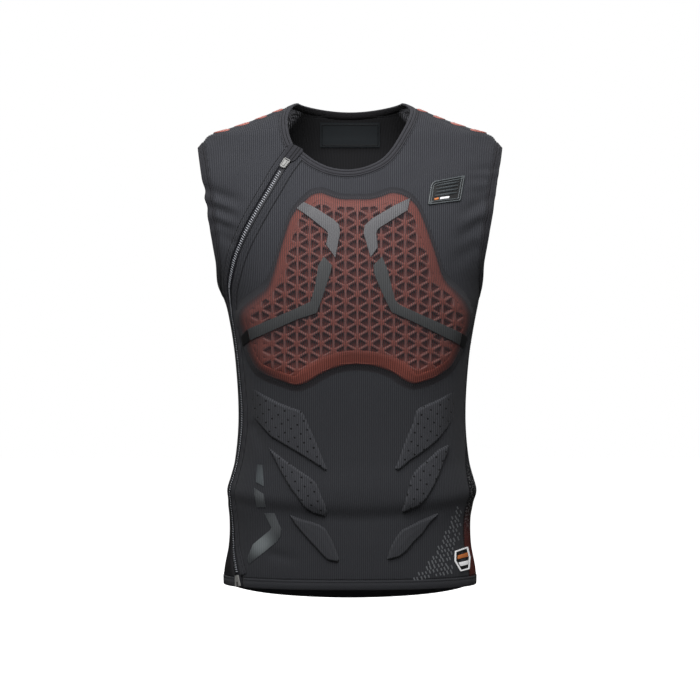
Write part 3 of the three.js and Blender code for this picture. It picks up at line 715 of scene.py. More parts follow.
# Black rubber, also painted shade: the stripes' dark ends and the badge plate between ridges
blackRubberAndShade = grainFinish("black_rubber_and_shade", (22, 22, 24), (14, 14, 15), 0.5)
plastic = grainFinish("satin_plastic", (170, 170, 168), (146, 146, 144), 0.35, depth=0.04)
labelFilm = grainFinish("label_film", (62, 66, 69), (56, 60, 63), 0.35, depth=0.03)
thread = grainFinish("thread", (42, 42, 46), (28, 28, 31), 0.8, scale=2500.0)
nylon = grainFinish("nylon", (26, 27, 36), (16, 17, 23), 0.5)
# The print ink glows a little: painted light that keeps white print bright in weak light
glow = {"Emission_Color": shade(255, 255, 255), "Emission_Strength": 0.25}
printInk = grainFinish("print_ink", (246, 246, 248), (232, 232, 234), 0.5, depth=0.02, **glow)
markInk = grainFinish("mark_ink", (206, 209, 216), (184, 187, 194), 0.5, depth=0.02)
dashInk = grainFinish("dash_ink", (128, 130, 134), (98, 100, 103), 0.5, depth=0.02)
accent = grainFinish("accent", (240, 150, 84), (224, 122, 62), 0.45, depth=0.03)
print("materials ready")

# Edges of the openings, of the zip and of the hem, and the side seams
neck = {
    "front": [
        (-62.5, -44.5), (-57, -49), (-46, -57), (-27, -66), (-4, -69.5), (17, -66.5), (40, -56),
        (55, -40), (68.5, -17.5), (77, 0), (80.5, 14), (74, 24),
    ],
    "right": [(-74, 24), (-81, 12), (-83, 0), (-80, -22), (-75, -35)],
    "level": 18.5,
    "shoulderLevel": 25.5,
    "fromAngle": 96,
    "toAngle": 264,
    "width": 10.5,
    "panelEdge": 7.5,
}
armhole = {
    "top": -35.5,
    "bottom": -224,
    "level": -40,
    "x": 202,
    "lean": 0.172,
    "rounding": 38,
    "steps": 144,
    "width": 11,
    "panelEdge": 6.5,
}
# Zip: its line as angles and levels, profiles as offsets from it and lifts, and the two knit edges
zipper = {
    "line": [
        (-49.5, -36), (-51.7, -62), (-53.5, -99), (-56.4, -135), (-59.4, -160), (-63.4, -187),
        (-66.2, -203), (-69.7, -219), (-73.1, -235), (-75.4, -251), (-76.2, -275), (-76.2, -330),
        (-75.2, -392), (-76.3, -428), (-77.6, -460), (-77.8, -510), (-76.6, -545), (-74.5, -569),
        (-70.9, -587), (-68.4, -602), (-67.8, -615),
    ],
    "half": 8,
    "top": 9,
    "steps": 330,
    "tape": [(-9.2, -1.3), (-4.0, -1.1), (4.0, -1.1), (9.2, -1.3), (9.2, -1.9), (-9.2, -1.9)],
    "coil": [
        (-5.0, -1.0), (-4.7, -0.2), (-3.2, 0.25), (-1.4, 0.55), (-0.5, 0.75), (0.0, 0.35),
        (0.5, 0.75), (1.4, 0.55), (3.2, 0.25), (4.7, -0.2), (5.0, -1.0),
    ],
    "coilStep": 0.36,
    "swell": 0.14,
    "rearEdge": {"offsets": (5.6, 13.0), "from": 14, "to": 268},
    "frontEdge": {"offsets": (-5.6, -15.5), "from": 15, "to": -13},
    "tick": {"pitch": 3.1, "half": 2.6, "stroke": 1.35, "lean": 0.25, "from": 46, "short": 20},
}
hem = {
    "level": -615,
    "panelEdge": 10.5,
    "steps": 300,
    "profile": [
        (-0.6, -1.0), (-0.5, 0.3), (0.4, 0.9), (5.0, 1.0), (8.6, 0.95), (9.2, 0.55), (9.8, 0.95),
        (11.4, 0.8), (12.1, 0.0), (11.6, -2.2), (6.0, -2.5), (0.2, -2.4),
    ],
    "stitches": [(9.2, 0.7), (14.0, 0.1)],
}
side = {"inset": 11, "taper": 95, "tuck": 9.5, "tucked": (-490, -415)}
wallThickness = 2.0
columns = {"zipSide": 56, "armSide": 60, "shoulder": 40, "side": 16}

frontPart = seenAt(*curvePoints(neck["front"], 90).T)
backAngles = np.linspace(neck["fromAngle"], neck["toAngle"], 70)
backRise = neck["shoulderLevel"] - neck["level"]
backPart = backAngles, neck["level"] + backRise * np.sin(np.radians(backAngles)) ** 2
rightPart = seenAt(*curvePoints(neck["right"], 36).T)
neckAngle = np.concatenate([frontPart[0], backPart[0], rightPart[0] + 360])
neckLevel = np.concatenate([frontPart[1], backPart[1], rightPart[1]])
neckEdgeAngle, neckEdgeLevel = movedLine(neckAngle, neckLevel, neck["panelEdge"])
lowestNumber = int(np.argmin(np.where(neckEdgeAngle < 90, neckEdgeLevel, 0)))
lowestAngle, lowestLevel = neckEdgeAngle[lowestNumber], neckEdgeLevel[lowestNumber]


# Armhole on the wearer's left (sign 1) or right (sign -1), run so that the wall lies to its right:
# a leaning plane's cut through the form, closed below by a half round
def armholeLine(sign):
    turn = np.linspace(0, 2 * np.pi, armhole["steps"] + 1)
    top, bottom = armhole["top"], armhole["bottom"]
    level = (top + bottom) / 2 + (top - bottom) / 2 * np.cos(turn)
    x = sign * (armhole["x"] + (level - armhole["level"]) * armhole["lean"])
    ahead, behind = seenAt(x, level, -1)[0], seenAt(x, level, 1)[0]
    firstHalf = np.sin(turn) > 0
    angle = np.where(firstHalf == (sign > 0), ahead, behind)
    above = np.clip((level - bottom) / armhole["rounding"], 0, 1)
    angle = sign * 90 + (angle - sign * 90) * np.sqrt(1 - (1 - above) ** 2)
    return np.where(np.abs(np.sin(turn)) < 1e-9, sign * 90.0, angle), level


armholes = {sign: armholeLine(sign) for sign in (1, -1)}


# Panel edge at an armhole as levels and angles in rising order, before or behind the arm
def armholeEdge(sign, behind):
    angle, level = movedLine(*armholes[sign], armhole["panelEdge"], True)
    kept = np.abs(angle) >= 89.5 if behind else np.abs(angle) <= 90.5
    order = np.argsort(level[kept])
    return level[kept][order], angle[kept][order]


armEdges = {(sign, behind): armholeEdge(sign, behind) for sign in (1, -1)
            for behind in (False, True)}
bindingBottom, bindingTop = armEdges[1, False][0][[0, -1]]

zipAngle, zipLevel = curvePoints(zipper["line"], 280).T
zipLength = lengthAlong(formPoint(zipAngle, zipLevel))


# Angle and level of the zip line at places down from the collar
def zipAt(places):
    return np.interp(places, zipLength, zipAngle), np.interp(places, zipLength, zipLevel)


# Stretch of the zip line between two places down from the collar, the end up from the hem if not
# above 0
def zipStretch(start, end, count):
    return zipAt(np.linspace(start, end if end > 0 else zipLength[-1] + end, count + 1))


# Angle at a level of the zip line moved aside by an offset
def zipEdge(level, offset):
    angle, levels = movedLine(zipAngle, zipLevel, offset)
    return np.interp(level, levels[::-1], angle[::-1])


# Side seams run to a point under each armhole; above the hip the front one lies nearer the very
# side
def seamAngle(level, sign, behind):
    inset = side["inset"] - (0 if behind else side["tuck"]) * smoothStep(level, *side["tucked"])
    angle = seenAt(sectionAt(1, level) - inset + asideAt(level), level, 1 if behind else -1)[0]
    return sign * (90 + (angle - 90) * smoothStep(bindingBottom - level, 0, side["taper"]))


# Outer edge of a panel before or behind an arm: side seam, armhole, then the shoulder seam
def outerEdge(level, sign, behind):
    arm = np.interp(level, *armEdges[sign, behind])
    low = np.where(level <= bindingBottom, seamAngle(level, sign, behind), arm)
    return np.where(level >= bindingTop, sign * 90.0, low)


# Even levels between two heights, with those of the edges' own points
def levelsBetween(low, high, step, *edges):
    own = np.unique(np.concatenate([np.arange(low + step, high, step), *edges]))
    own = own[(own > low + 0.4) & (own < high - 0.4)]
    own = own[np.r_[True, np.diff(own) > 0.35]] if len(own) else own
    return np.r_[low, own, high]


# A knit wall over stretches of levels, each with an angle for its left and right edge at every
# level
def wall(name, finish, slotName, node, stretches, fromBack=False):
    made = Shape()
    for levels, left, right, count in stretches:
        share = np.linspace(0, 1, count + 1)
        angle = left[:, None] * (1 - share) + right[:, None] * share
        level = np.broadcast_to(levels[:, None], angle.shape)
        arc = -arcAt(180 - angle, level) if fromBack else arcAt(angle, level)
        made.grid(skin(angle, level), paired(arc, level))
    return made.piece(name, finish, slotName, node, weld=True, wall=wallThickness)


neckToZip = slice(lowestNumber, None, -1)
leftNeck = (neckEdgeAngle >= lowestAngle) & (neckEdgeAngle <= 90.5)
backNeck = (neckEdgeAngle >= 89.5) & (neckEdgeAngle <= 270.5)
rightNeck = neckEdgeAngle >= 269.5


# Angle of the neck edge at a level, on one rising or falling stretch of it
def neckAt(level, kept):
    levels, angles = neckEdgeLevel[kept], neckEdgeAngle[kept]
    order = np.argsort(levels)
    return np.interp(level, levels[order], angles[order])


panelBottom = hem["level"] + hem["panelEdge"]
shoulderTop = float(np.interp(90, neckEdgeAngle, neckEdgeLevel))
lowLevels = levelsBetween(panelBottom, bindingBottom, 4.0)
zipFront, zipRear = -zipper["half"] - 0.3, zipper["half"] + 0.3


# Front from the zip to the left seam, with a corner up to the collar and a strap to the shoulder
def frontPanel():
    tries = np.linspace(lowestLevel, neckEdgeLevel[0], 400)
    past = zipEdge(tries, zipFront) > neckAt(tries, neckToZip)
    cornerTop = tries[np.argmax(past)] if past.any() else tries[-1]
    arm = armEdges[1, False][0]
    body = np.r_[lowLevels[:-1], levelsBetween(bindingBottom, lowestLevel, 4.0, arm)]
    corner = levelsBetween(lowestLevel, cornerTop, 2.0, neckEdgeLevel[neckToZip])
    strap = levelsBetween(lowestLevel, bindingTop, 3.0, arm, neckEdgeLevel[leftNeck])
    top = levelsBetween(bindingTop, shoulderTop, 2.0)
    middle = np.full(len(body), lowestAngle)
    zipSide, armSide = columns["zipSide"], columns["armSide"]
    return wall("front_panel_knit", knit, "knit", "front_panel", [
        (body, zipEdge(body, zipFront), middle, zipSide),
        (corner, zipEdge(corner, zipFront), neckAt(corner, neckToZip), zipSide),
        (body, middle, outerEdge(body, 1, False), armSide),
        (strap, neckAt(strap, leftNeck), outerEdge(strap, 1, False), armSide),
        (top, neckAt(top, leftNeck), outerEdge(top, 1, False), armSide),
    ])


# Panel between the right armhole, the zip and the collar
def rightShoulderPanel():
    arm, lowest = armEdges[-1, False][0], neckEdgeLevel[-1]
    body = levelsBetween(bindingBottom, bindingTop, 3.0, arm, neckEdgeLevel[rightNeck])
    levels = np.r_[body[:-1], levelsBetween(bindingTop, shoulderTop, 2.0)]
    zipSide = zipEdge(levels, zipRear)
    neckSide = neckAt(levels, rightNeck) - 360
    inner = np.where(levels < lowest, zipSide, np.minimum(zipSide, neckSide))
    outer = outerEdge(levels, -1, False)
    return wall("right_shoulder_knit", knit, "knit", "right_shoulder_panel",
                [(levels, outer, inner, columns["shoulder"])])


# Back in two halves, each with a strap beside the neck
def backPanel():
    lowest = neckEdgeLevel[backNeck].min()
    halfLeft = backNeck & (neckEdgeAngle <= 180.5)
    halfRight = backNeck & (neckEdgeAngle >= 179.5)
    arm = levelsBetween(bindingBottom, bindingTop, 4.0, armEdges[1, True][0])
    body = np.r_[lowLevels[:-1], arm[:-1], levelsBetween(bindingTop, lowest, 3.0)]
    strap = levelsBetween(lowest, shoulderTop, 1.5, neckEdgeLevel[halfLeft])
    middle, count = np.full(len(body), 180.0), columns["armSide"]
    return wall("back_panel_knit", knit, "knit", "back_panel", [
        (body, outerEdge(body, 1, True), middle, count),
        (strap, outerEdge(strap, 1, True), neckAt(strap, halfLeft), count),
        (body, middle, outerEdge(body, -1, True) + 360, count),
        (strap, neckAt(strap, halfRight), outerEdge(strap, -1, True) + 360, count),
    ], fromBack=True)


# Mesh under an arm, between two edges
def sidePanel(word, finish, start, end):
    return wall(word + "_side_mesh", finish, "side_mesh", word + "_side_panel",
                [(lowLevels, start, end, columns["side"])])


frontKnit = frontPanel()
shoulderKnit = rightShoulderPanel()
backKnit = backPanel()
leftMesh = sidePanel("left", meshRed, seamAngle(lowLevels, 1, False), seamAngle(lowLevels, 1, True))
rightMesh = sidePanel("right", meshDark, seamAngle(lowLevels, -1, True),
                      zipEdge(lowLevels, zipRear))
print("panels ready")


# Distance round a profile from its first point
def roundProfile(profile):
    return np.r_[0, np.cumsum(np.hypot(*np.diff(np.array(profile), axis=0).T))]


# Points of a profile of offsets and lifts carried along a line on the cloth
def ribbon(angle, level, profile, closed=False):
    return np.stack([skin(*movedLine(angle, level, offset, closed), lift)
                     for offset, lift in profile], 1)


# A closed profile along a line; its cloth is the distance round it and along the line
def carried(made, angle, level, profile, closed=False):
    points = ribbon(angle, level, profile, closed)
    cloth = paired(roundProfile(profile)[None, :], lengthAlong(points[:, 0])[:, None])
    if closed:
        points, cloth = points[:-1], cloth[:-1]
    made.grid(points, cloth, across=True, along=closed, caps=not closed)


# Small bead with pointed ends, one long and one high
beadRing = ((0.5, 0.1), (0, 1), (-0.5, 0.1), (0, -0.6))
beadPoints = np.array([(-0.5, 0, -0.3)] + [(end, *spot) for end in (-0.28, 0.28)
                                           for spot in beadRing] + [(0.5, 0, -0.3)])
beadFaces = [
    np.array([(1 + i, 1 + (i + 1) % 4, 5 + (i + 1) % 4, 5 + i) for i in range(4)]),
    np.array([(0, 1 + (i + 1) % 4, 1 + i) for i in range(4)]
             + [(9, 5 + i, 5 + (i + 1) % 4) for i in range(4)]),
]


# Stitches laid end to end along a line on the cloth
def sewn(made, angle, level, offset, lift, pitch=3.2, length=2.5, width=0.6, height=0.4,
         closed=False, slant=0.0):
    if offset:
        angle, level = movedLine(angle, level, offset, closed)
    along = lengthAlong(formPoint(angle, level))
    places = np.arange(pitch / 2, along[-1], pitch)
    here, ahead = ((np.interp(spots, along, angle), np.interp(spots, along, level))
                   for spots in (places, places + 0.5))
    up = formNormal(*here)
    run = unit(formPoint(*ahead) - formPoint(*here) + 1e-9)
    run = unit(run + slant * np.cross(up, run))
    axes = np.stack([run * length, np.cross(up, run) * width, up * height], 1)
    made.copies(beadPoints, beadFaces, skin(*here, lift), axes)


# Bound edges: a rounded double tape with two grooves along it, turned over the edge of the wall
def tapeProfile(width, lift):
    outer = [(-0.5, -0.8), (-0.1, 0.4), (0.8, 0.95), (width * 0.28, 1.0), (width * 0.33, 0.4),
             (width * 0.38, 1.0), (width * 0.7, 1.0), (width * 0.75, 0.4), (width * 0.8, 1.0),
             (width - 0.5, 0.8), (width + 0.1, 0.0)]
    inner = [(width - 0.2, -2.2), (width * 0.5, -2.5), (0.4, -2.4), (-0.4, -1.8)]
    return [(offset, depth * lift if depth > 0 else depth) for offset, depth in outer] + inner


collarProfile = tapeProfile(neck["width"], 1.1)
armProfile = tapeProfile(armhole["width"], 1.0)
collarRound, armRound = roundProfile(collarProfile), roundProfile(armProfile)
# Collar tape: dark lines in its grooves and at its seam, and a dark inside, all painted shade
collarTwill = twillFinish("collar_twill", (82, 82, 88), (56, 56, 61), lines=collarRound[[4, 7, 10]],
                          inside=collarRound[10] + 0.4)
garageTwill = twillFinish("garage_twill", (72, 72, 78), (46, 46, 51), lines=(-5.2, -1.0, 5.6))
# Armhole tape: dark lines in a groove and at its seam, and a dark lip, all painted shade
armTwill = twillFinish("armhole_twill", (70, 70, 76), (44, 44, 49), lines=armRound[[7, 10]],
                       lip=3.0)
hemTwill = twillFinish("hem_twill", (76, 77, 82), (50, 51, 55))


# Collar, armholes and hem, each a carried profile with two rows of stitches
def boundEdges():
    stitches, made = Shape(), Shape()
    carried(made, neckAngle, neckLevel, collarProfile)
    made.piece("collar_tape", collarTwill, "binding", "collar_band", turn=True)
    for offset, lift in ((neck["width"] * 0.75, 0.6), (neck["width"] + 1.6, 0.1)):
        sewn(stitches, neckAngle, neckLevel, offset, lift)
    for sign, word in ((1, "left"), (-1, "right")):
        made = Shape()
        carried(made, *armholes[sign], armProfile, True)
        made.piece(word + "_armhole_tape", armTwill, "binding", word + "_armhole_binding",
                   turn=True)
        for offset, lift in ((armhole["width"] * 0.75, 0.6), (armhole["width"] + 1.8, 0.1)):
            sewn(stitches, *armholes[sign], offset, lift, closed=True)
    made = Shape()
    start, end = (zipEdge(hem["level"], offset) for offset in (zipFront, zipRear))
    around = np.linspace(start, end + 360, hem["steps"])
    points = np.stack([skin(around, hem["level"] + rise, lift)
                       for rise, lift in hem["profile"]], 1)
    rises = np.array(hem["profile"])[None, :, 0]
    made.grid(points, paired(lengthAlong(points[:, 0])[:, None], rises), across=True, caps=True)
    made.piece("hem_tape", hemTwill, "binding", "hem_band", turn=True)
    for rise, lift in hem["stitches"]:
        sewn(stitches, around, np.full(around.shape, hem["level"] + rise), 0.0, lift)
    stitches.piece("edge_stitches", thread, "binding")


boundEdges()
print("bound edges ready")


# Seams: two rows of stitches over each side and shoulder seam, and slanting ones across the sides
def seams():
    made = Shape()
    low = np.linspace(bindingBottom - 2, panelBottom + 3, 160)
    high = np.linspace(bindingTop + 1.5, shoulderTop - 2, 40)
    for sign, sides in ((1, (False, True)), (-1, (True,))):
        for behind in sides:
            angle = seamAngle(low, sign, behind)
            for offset in (-1.6, 1.6):
                sewn(made, angle, low, offset, 0.1)
            sewn(made, angle, low, 0.0, 0.05, pitch=1.5, length=3.6, width=0.5, height=0.35,
                 slant=2.2)
        for offset in (-1.8, 1.8):
            sewn(made, np.full(high.shape, sign * 90.0), high, offset, 0.1)
    made.piece("seam_stitches", thread, "binding")


seams()


# Zip: tape between the panels, and the closed coil down its middle, swelling at each turn
def zipMiddle():
    made = Shape()
    carried(made, *zipStretch(zipper["top"], 0, zipper["steps"]), zipper["tape"])
    made.piece("zip_tape_cloth", tapeTwill, "binding", "zip_tape", turn=True, sharp=40)
    made = Shape()
    count = int((zipLength[-1] - zipper["top"]) / zipper["coilStep"])
    swell = zipper["swell"] * np.cos(np.arange(count + 1) * (np.pi / 2))
    profile = [(offset, lift + swell * (abs(offset) < 4)) for offset, lift in zipper["coil"]]
    points = ribbon(*zipStretch(zipper["top"], 0, count), profile)
    across = np.array(zipper["coil"])[None, :, 0]
    down = np.arange(count + 1)[:, None] * zipper["coilStep"]
    made.grid(points[:, ::-1], paired(across[:, ::-1], down))
    made.piece("zip_coil_cover", nylon, "zip_teeth", "zip_coil")


# Light ticks across the coil, leaning a little down it
def zipTicks():
    tick = zipper["tick"]
    places = np.arange(tick["from"], zipLength[-1] - tick["short"], tick["pitch"])
    here = zipAt(places)
    up = formNormal(*here)
    run = unit(formPoint(*zipAt(places + 1)) - formPoint(*here))
    aside = unit(np.cross(up, run) + tick["lean"] * run)
    axes = np.stack([aside * 2 * tick["half"], run * tick["stroke"], up * 0.3], 1)
    made = Shape()
    made.copies(beadPoints * (1, 1, 0.6), beadFaces, skin(*here, 0.75), axes)
    made.piece("zip_ticks", markInk, "zip_hardware")


# A folded knit edge on each side of the zip, with a groove near its far side
def zipEdges():
    stitches = Shape()
    for word in ("rear", "front"):
        table = zipper[word + "Edge"]
        near, far = table["offsets"]
        sign = 1 if far > near else -1
        edge = zipStretch(table["from"], table["to"], zipper["steps"])
        profile = [(near, -1.0), (near - 0.3 * sign, 0.2), (near + 0.3 * sign, 1.0),
                   (near + 1.4 * sign, 1.25), (far - 4.2 * sign, 1.0), (far - 3.6 * sign, 0.35),
                   (far - 3.0 * sign, 0.9), (far - 1.0 * sign, 0.75), (far, -0.1),
                   (far - 0.5 * sign, -0.8)]
        cloth = [paired(arcAt(*movedLine(*edge, offset)), edge[1]) for offset, _ in profile]
        made = Shape()
        made.grid(ribbon(*edge, profile), np.stack(cloth, 1), across=True, caps=True)
        made.piece("zip_edge_" + word, knit, "knit", turn=True)
        sewn(stitches, *edge, near + 1.5 * sign, 1.2)
        for offset in (far - 3.6 * sign, far + 0.3 * sign):
            sewn(stitches, *edge, offset, 0.35, pitch=2.3, length=2.6, width=0.9, height=0.3)
    stitches.piece("zip_stitches", thread, "binding")


zipMiddle()
zipTicks()
zipEdges()


# A flat plate on the cloth: its outline stacked as rings of (shrink, lift)
def plateRings(made, outline, rings, place=frontSkin):
    inward = inwardOf(outline)
    spots = [outline + inward * shrink for shrink, _ in rings]
    layers = [place(spot, lift) for spot, (_, lift) in zip(spots, rings)]
    made.grid(np.stack(layers, 0), np.stack(spots, 0), across=True)
    made.faces.append(np.arange(made.count - len(outline), made.count)[None])


# Fine outline with rounded corners from a polygon's corners
def rounded(corners, radius, steps=6):
    corners = np.asarray(corners, float)
    radius = np.broadcast_to(radius, len(corners))[:, None]
    before, after = unit(np.roll(corners, 1, 0) - corners), unit(np.roll(corners, -1, 0) - corners)
    t = np.linspace(0, 1, steps + 1)[:, None, None]
    start, end = corners + before * radius, corners + after * radius
    curve = start * (1 - t) ** 2 + corners * 2 * t * (1 - t) + end * t ** 2
    return curve.transpose(1, 0, 2).reshape(-1, 2)


# Hardware of the zip: places across it and down it from the collar; legs and cross of the fork at
# its bottom are measured from the hem end; rings are (shrink, lift)
hardware = {
    "slider": [(-3.3, 27), (3.7, 27), (2.6, 38.5), (-2.6, 38.5)],
    "sliderRings": [(0, 0.8), (0, 3.2), (0.4, 3.7), (1.1, 3.7), (1.4, 2.9), (1.6, 2.8)],
    "bridge": [(-0.9, 28.6), (0.9, 28.6), (0.9, 37.0), (-0.9, 37.0)],
    "bridgeRings": [(0, 2.6), (0, 3.7), (0.3, 4.0)],
    "garage": [(-7.4, 6), (8.4, 6), (7.6, 19), (5.0, 25), (-4.0, 25.5), (-6.6, 22)],
    "garageRings": [(0, 0.6), (0, 2.4), (0.6, 3.0), (1.7, 3.0), (2.1, 2.6), (2.6, 3.1)],
    "leg": [(1.0, -15), (2.2, -15), (4.4, -1), (2.6, -1)],
    "legRings": [(0, 0.6), (0, 2.9), (0.4, 3.3)],
    "cross": [(-2.6, -10), (2.6, -10), (3.0, -7.2), (-3.0, -7.2)],
    "crossRings": [(0, 0.6), (0, 2.6), (0.4, 3.0)],
}


# Points at places across and along the zip
def onZip(spots, lift):
    places = np.clip(spots[..., 1], 0, zipLength[-1])
    here = zipAt(places)
    run = unit(formPoint(*zipAt(places + 1)) - formPoint(*zipAt(places - 1)))
    aside = np.cross(formNormal(*here), run)
    return skin(*here, lift) + aside * spots[..., 0][..., None] * -1


# Slider with its bridge, flap over the top end, and fork at the bottom, each a stack of rings
def zipHardware():
    # One part: its rounded outline, stacked by its rings
    def plate(made, part, corners, radius):
        outline = rounded(corners, radius)
        plateRings(made, outline[::-1], hardware[part + "Rings"], place=onZip)

    made = Shape()
    plate(made, "slider", hardware["slider"], 0.9)
    plate(made, "bridge", hardware["bridge"], 0.6)
    made.piece("zip_slider_plate", plastic, "zip_hardware", "zip_slider", turn=True, sharp=35)
    made = Shape()
    plate(made, "garage", hardware["garage"], 1.4)
    made.piece("zip_garage_flap", garageTwill, "binding", "zip_garage", turn=True, sharp=50)
    made = Shape()
    end = np.array((0, zipLength[-1]))
    for sign in (-1, 1):
        leg = np.array(hardware["leg"]) * (sign, 1) + end
        plate(made, "leg", leg[::sign], 0.6)
    plate(made, "cross", hardware["cross"] + end, 0.5)
    made.piece("zip_stop_fork", plastic, "zip_hardware", "zip_bottom_stop", turn=True, sharp=35)


zipHardware()
print("zip ready")

chestOutline = evened(curvePoints(chestPad["outline"], 600, closed=True), 360)


# Points outside the outline, or nearer to it than a least distance, moved in to that distance
def pulledIn(points, outline, least):
    gap = np.linalg.norm(points[:, None] - outline[None], axis=-1)
    nearest = gap.argmin(1)
    moved = outline[nearest] + inwardOf(outline)[nearest] * least
    return np.where((edgeDistance(points, outline) < least)[:, None], moved, points)


# The pad is thinner towards its outline
def padTop(inside):
    thin = chestPad["thin"]
    return chestPad["top"] * (thin + (1 - thin) * smoothStep(inside, *chestPad["thinned"]))


# The border is broader along the arch at the bottom of the pad
def borderAt(x, z):
    narrow, broad = chestPad["border"]
    arch = smoothStep(-z, 265, 325) * (1 - smoothStep(np.abs(x - 7), 50, 80))
    return narrow + (broad - narrow) * arch


# Cells are hollow inside the border, short of the ends of the wings and of the lower corners, and
# not where the outline has squeezed them
def hollowCells(cells):
    middle = cells.mean(1)
    x, z = middle.T
    low = smoothStep(-z, 282, 290)
    inside = edgeDistance(middle, chestOutline) > borderAt(x, z) + 0.5
    first, second = cells[:, 1] - cells[:, 0], cells[:, 2] - cells[:, 0]
    area = np.abs(first[:, 0] * second[:, 1] - first[:, 1] * second[:, 0])
    full = chestPad["barPitch"] * chestPad["nodePitch"]
    (start, end), (startCut, endCut) = chestPad["hollowEnds"], chestPad["hollowCorners"]
    inside = inside & (x > start + startCut * low) & (x < end - endCut * low)
    return inside & (area > 0.8 * full)


# Corners of the triangles between columns of nodes, every second column half a pitch higher
def latticeCells():
    i, j = np.meshgrid(np.arange(*chestPad["bars"]), np.arange(*chestPad["nodes"]), indexing="ij")
    corners = []
    for even in (True, False):
        kept = (i % 2 == 0) == even
        a, b = i[kept], j[kept]
        if even:
            cells = (a, b, a + 1, b, a, b + 1), (a + 1, b, a + 1, b + 1, a, b + 1)
        else:
            cells = (a, b, a + 1, b + 1, a, b + 1), (a + 1, b, a + 1, b + 1, a, b)
        corners += [np.stack(cell, -1) for cell in cells]
    column, node = np.moveaxis(np.concatenate(corners).reshape(-1, 3, 2), -1, 0)
    startX, startZ = chestPad["node"]
    x = startX + column * chestPad["barPitch"]
    z = startZ + (node + 0.5 * (column % 2)) * chestPad["nodePitch"]
    cells = np.stack([x, z], -1)
    cells = cells[edgeDistance(cells.mean(1), chestOutline) > -2]
    return pulledIn(cells.reshape(-1, 2), chestOutline, 2.0).reshape(cells.shape)


# Rim of each cell, its middle, and the rim of its hole: the cell shrunk by half a bar, a little
# rounded
def cellRims(cells, hollow):
    share = np.arange(4)[:, None] / 4
    sides = [cells[:, n, None] * (1 - share) + cells[:, (n + 1) % 3, None] * share
             for n in range(3)]
    rim, middle = np.concatenate(sides, 1), cells.mean(1, keepdims=True)
    reach = chestPad["nodePitch"] * math.sqrt(3) / 6
    hole = 1 - chestPad["bar"] / 2 / reach
    circle = middle + unit(rim - middle) * reach * hole * 1.12
    shrunk = middle + (rim - middle) * hole
    holeRim = shrunk * 0.72 + circle * 0.28
    closed = middle + (rim - middle) * 0.03
    return rim, middle, np.where(hollow[:, None, None], holeRim, closed)


# The lattice of cells with its border, and a floor under the holes
def chestFoam():
    cells = latticeCells()
    hollow = hollowCells(cells)
    rim, middle, holeRim = cellRims(cells, hollow)
    rings = [(rim, 0.0), (rim * 0.6 + holeRim * 0.4, 0.1), (rim * 0.15 + holeRim * 0.85, 0.5),
             (holeRim, 1.3)]
    rings = [(ring, padTop(edgeDistance(ring, chestOutline)) - drop) for ring, drop in rings]
    rings += [(middle + (holeRim - middle) * 0.95, 1.2), (rim, 1.2)]
    points = np.stack([frontSkin(ring, lift) for ring, lift in rings], 1)
    cloth = np.stack([ring for ring, _ in rings], 1)
    cloth = np.where(hollow[:, None, None, None], cloth, chestPad["node"])
    cellCount, ringCount, size = points.shape[:3]
    n, m = np.meshgrid(np.arange(ringCount - 1), np.arange(size), indexing="ij")
    after, above = (m + 1) % size, (n + 1) * size
    faces = np.stack([n * size + m, n * size + after, above + after, above + m], -1)
    starts = np.arange(cellCount)[:, None, None] * ringCount * size
    made = Shape()
    made.add(points, [(faces.reshape(-1, 4)[None] + starts).reshape(-1, 4)], cloth)
    under = padTop(edgeDistance(holeRim, chestOutline)) - 3.0
    high, low = chestPad["floor"]
    floorLift = high + (low - high) * smoothStep(-holeRim[..., 1], 285, 330)
    floorLift = np.minimum(floorLift, under)
    floor = Shape()
    floorFaces = np.arange(size)[None] + np.arange(cellCount)[:, None] * size
    floor.add(frontSkin(holeRim, floorLift), [floorFaces], holeRim)
    floor.piece("chest_lattice_floor", foamFloor, "pad_foam")
    inward = inwardOf(chestOutline)
    border = borderAt(*chestOutline.T)[:, None]
    # inset, share of the border's width added to it, share of the pad's height
    profile = [
        (0.6, 0, 0.1), (0.0, 0, 0.2), (0.2, 0, 0.5), (1.2, 0, 0.77), (3.0, 0, 0.95), (5.5, 0, 1.04),
        (0, 0.7, 1.07), (-1.4, 1, 1.06), (-0.3, 1, 1.01), (0, 1, 0.89), (-0.6, 1, 0.2),
    ]
    layers = []
    for inset, part, share in profile:
        inset = inset + part * border
        layers.append(frontSkin(chestOutline + inward * inset, padTop(inset[:, 0]) * share))
    points = np.stack(layers, 1)
    cloth = np.broadcast_to(chestPad["node"], points.shape[:2] + (2,))
    made.grid(points, cloth, across=True, along=True)
    pad = made.piece("chest_lattice", foam, "pad_foam", "chest_protector", weld=True, turn=True,
                     sharp=60)


chestFoam()
print("chest pad ready")


# Cover: how it lies over the pad, how clear it is, and how softly that begins inside the outline
cover = {
    "margin": 11.0,
    "rows": 100,
    "sunk": 0.4,
    "over": 1.07,
    "gap": 1.4,
    "rise": (-10.0, 3.0),
    "ridge": 0.12,
    "middle": 13,
    "clear": 0.56,
    "clearLow": 0.04,
    "clearArch": 0.2,
    "soft": (5.0, 9.0),
}


# Lift of the cover: sunk in the wall outside the pad, rising over its edge to lie on its top
def coverLift(inside):
    rise = smoothStep(inside, *cover["rise"])
    return -cover["sunk"] + (padTop(inside) * cover["over"] + cover["gap"]) * rise


# Levels of the pad's upper and lower edge at x
def padEdges(x):
    loop = np.roll(chestOutline, -int(np.argmin(chestOutline[:, 0])), 0)
    end = int(np.argmax(loop[:, 0]))
    low, high = loop[:end + 1], np.r_[loop[:1], loop[:end - 1:-1]]
    return np.interp(x, *low.T), np.interp(x, *high.T)


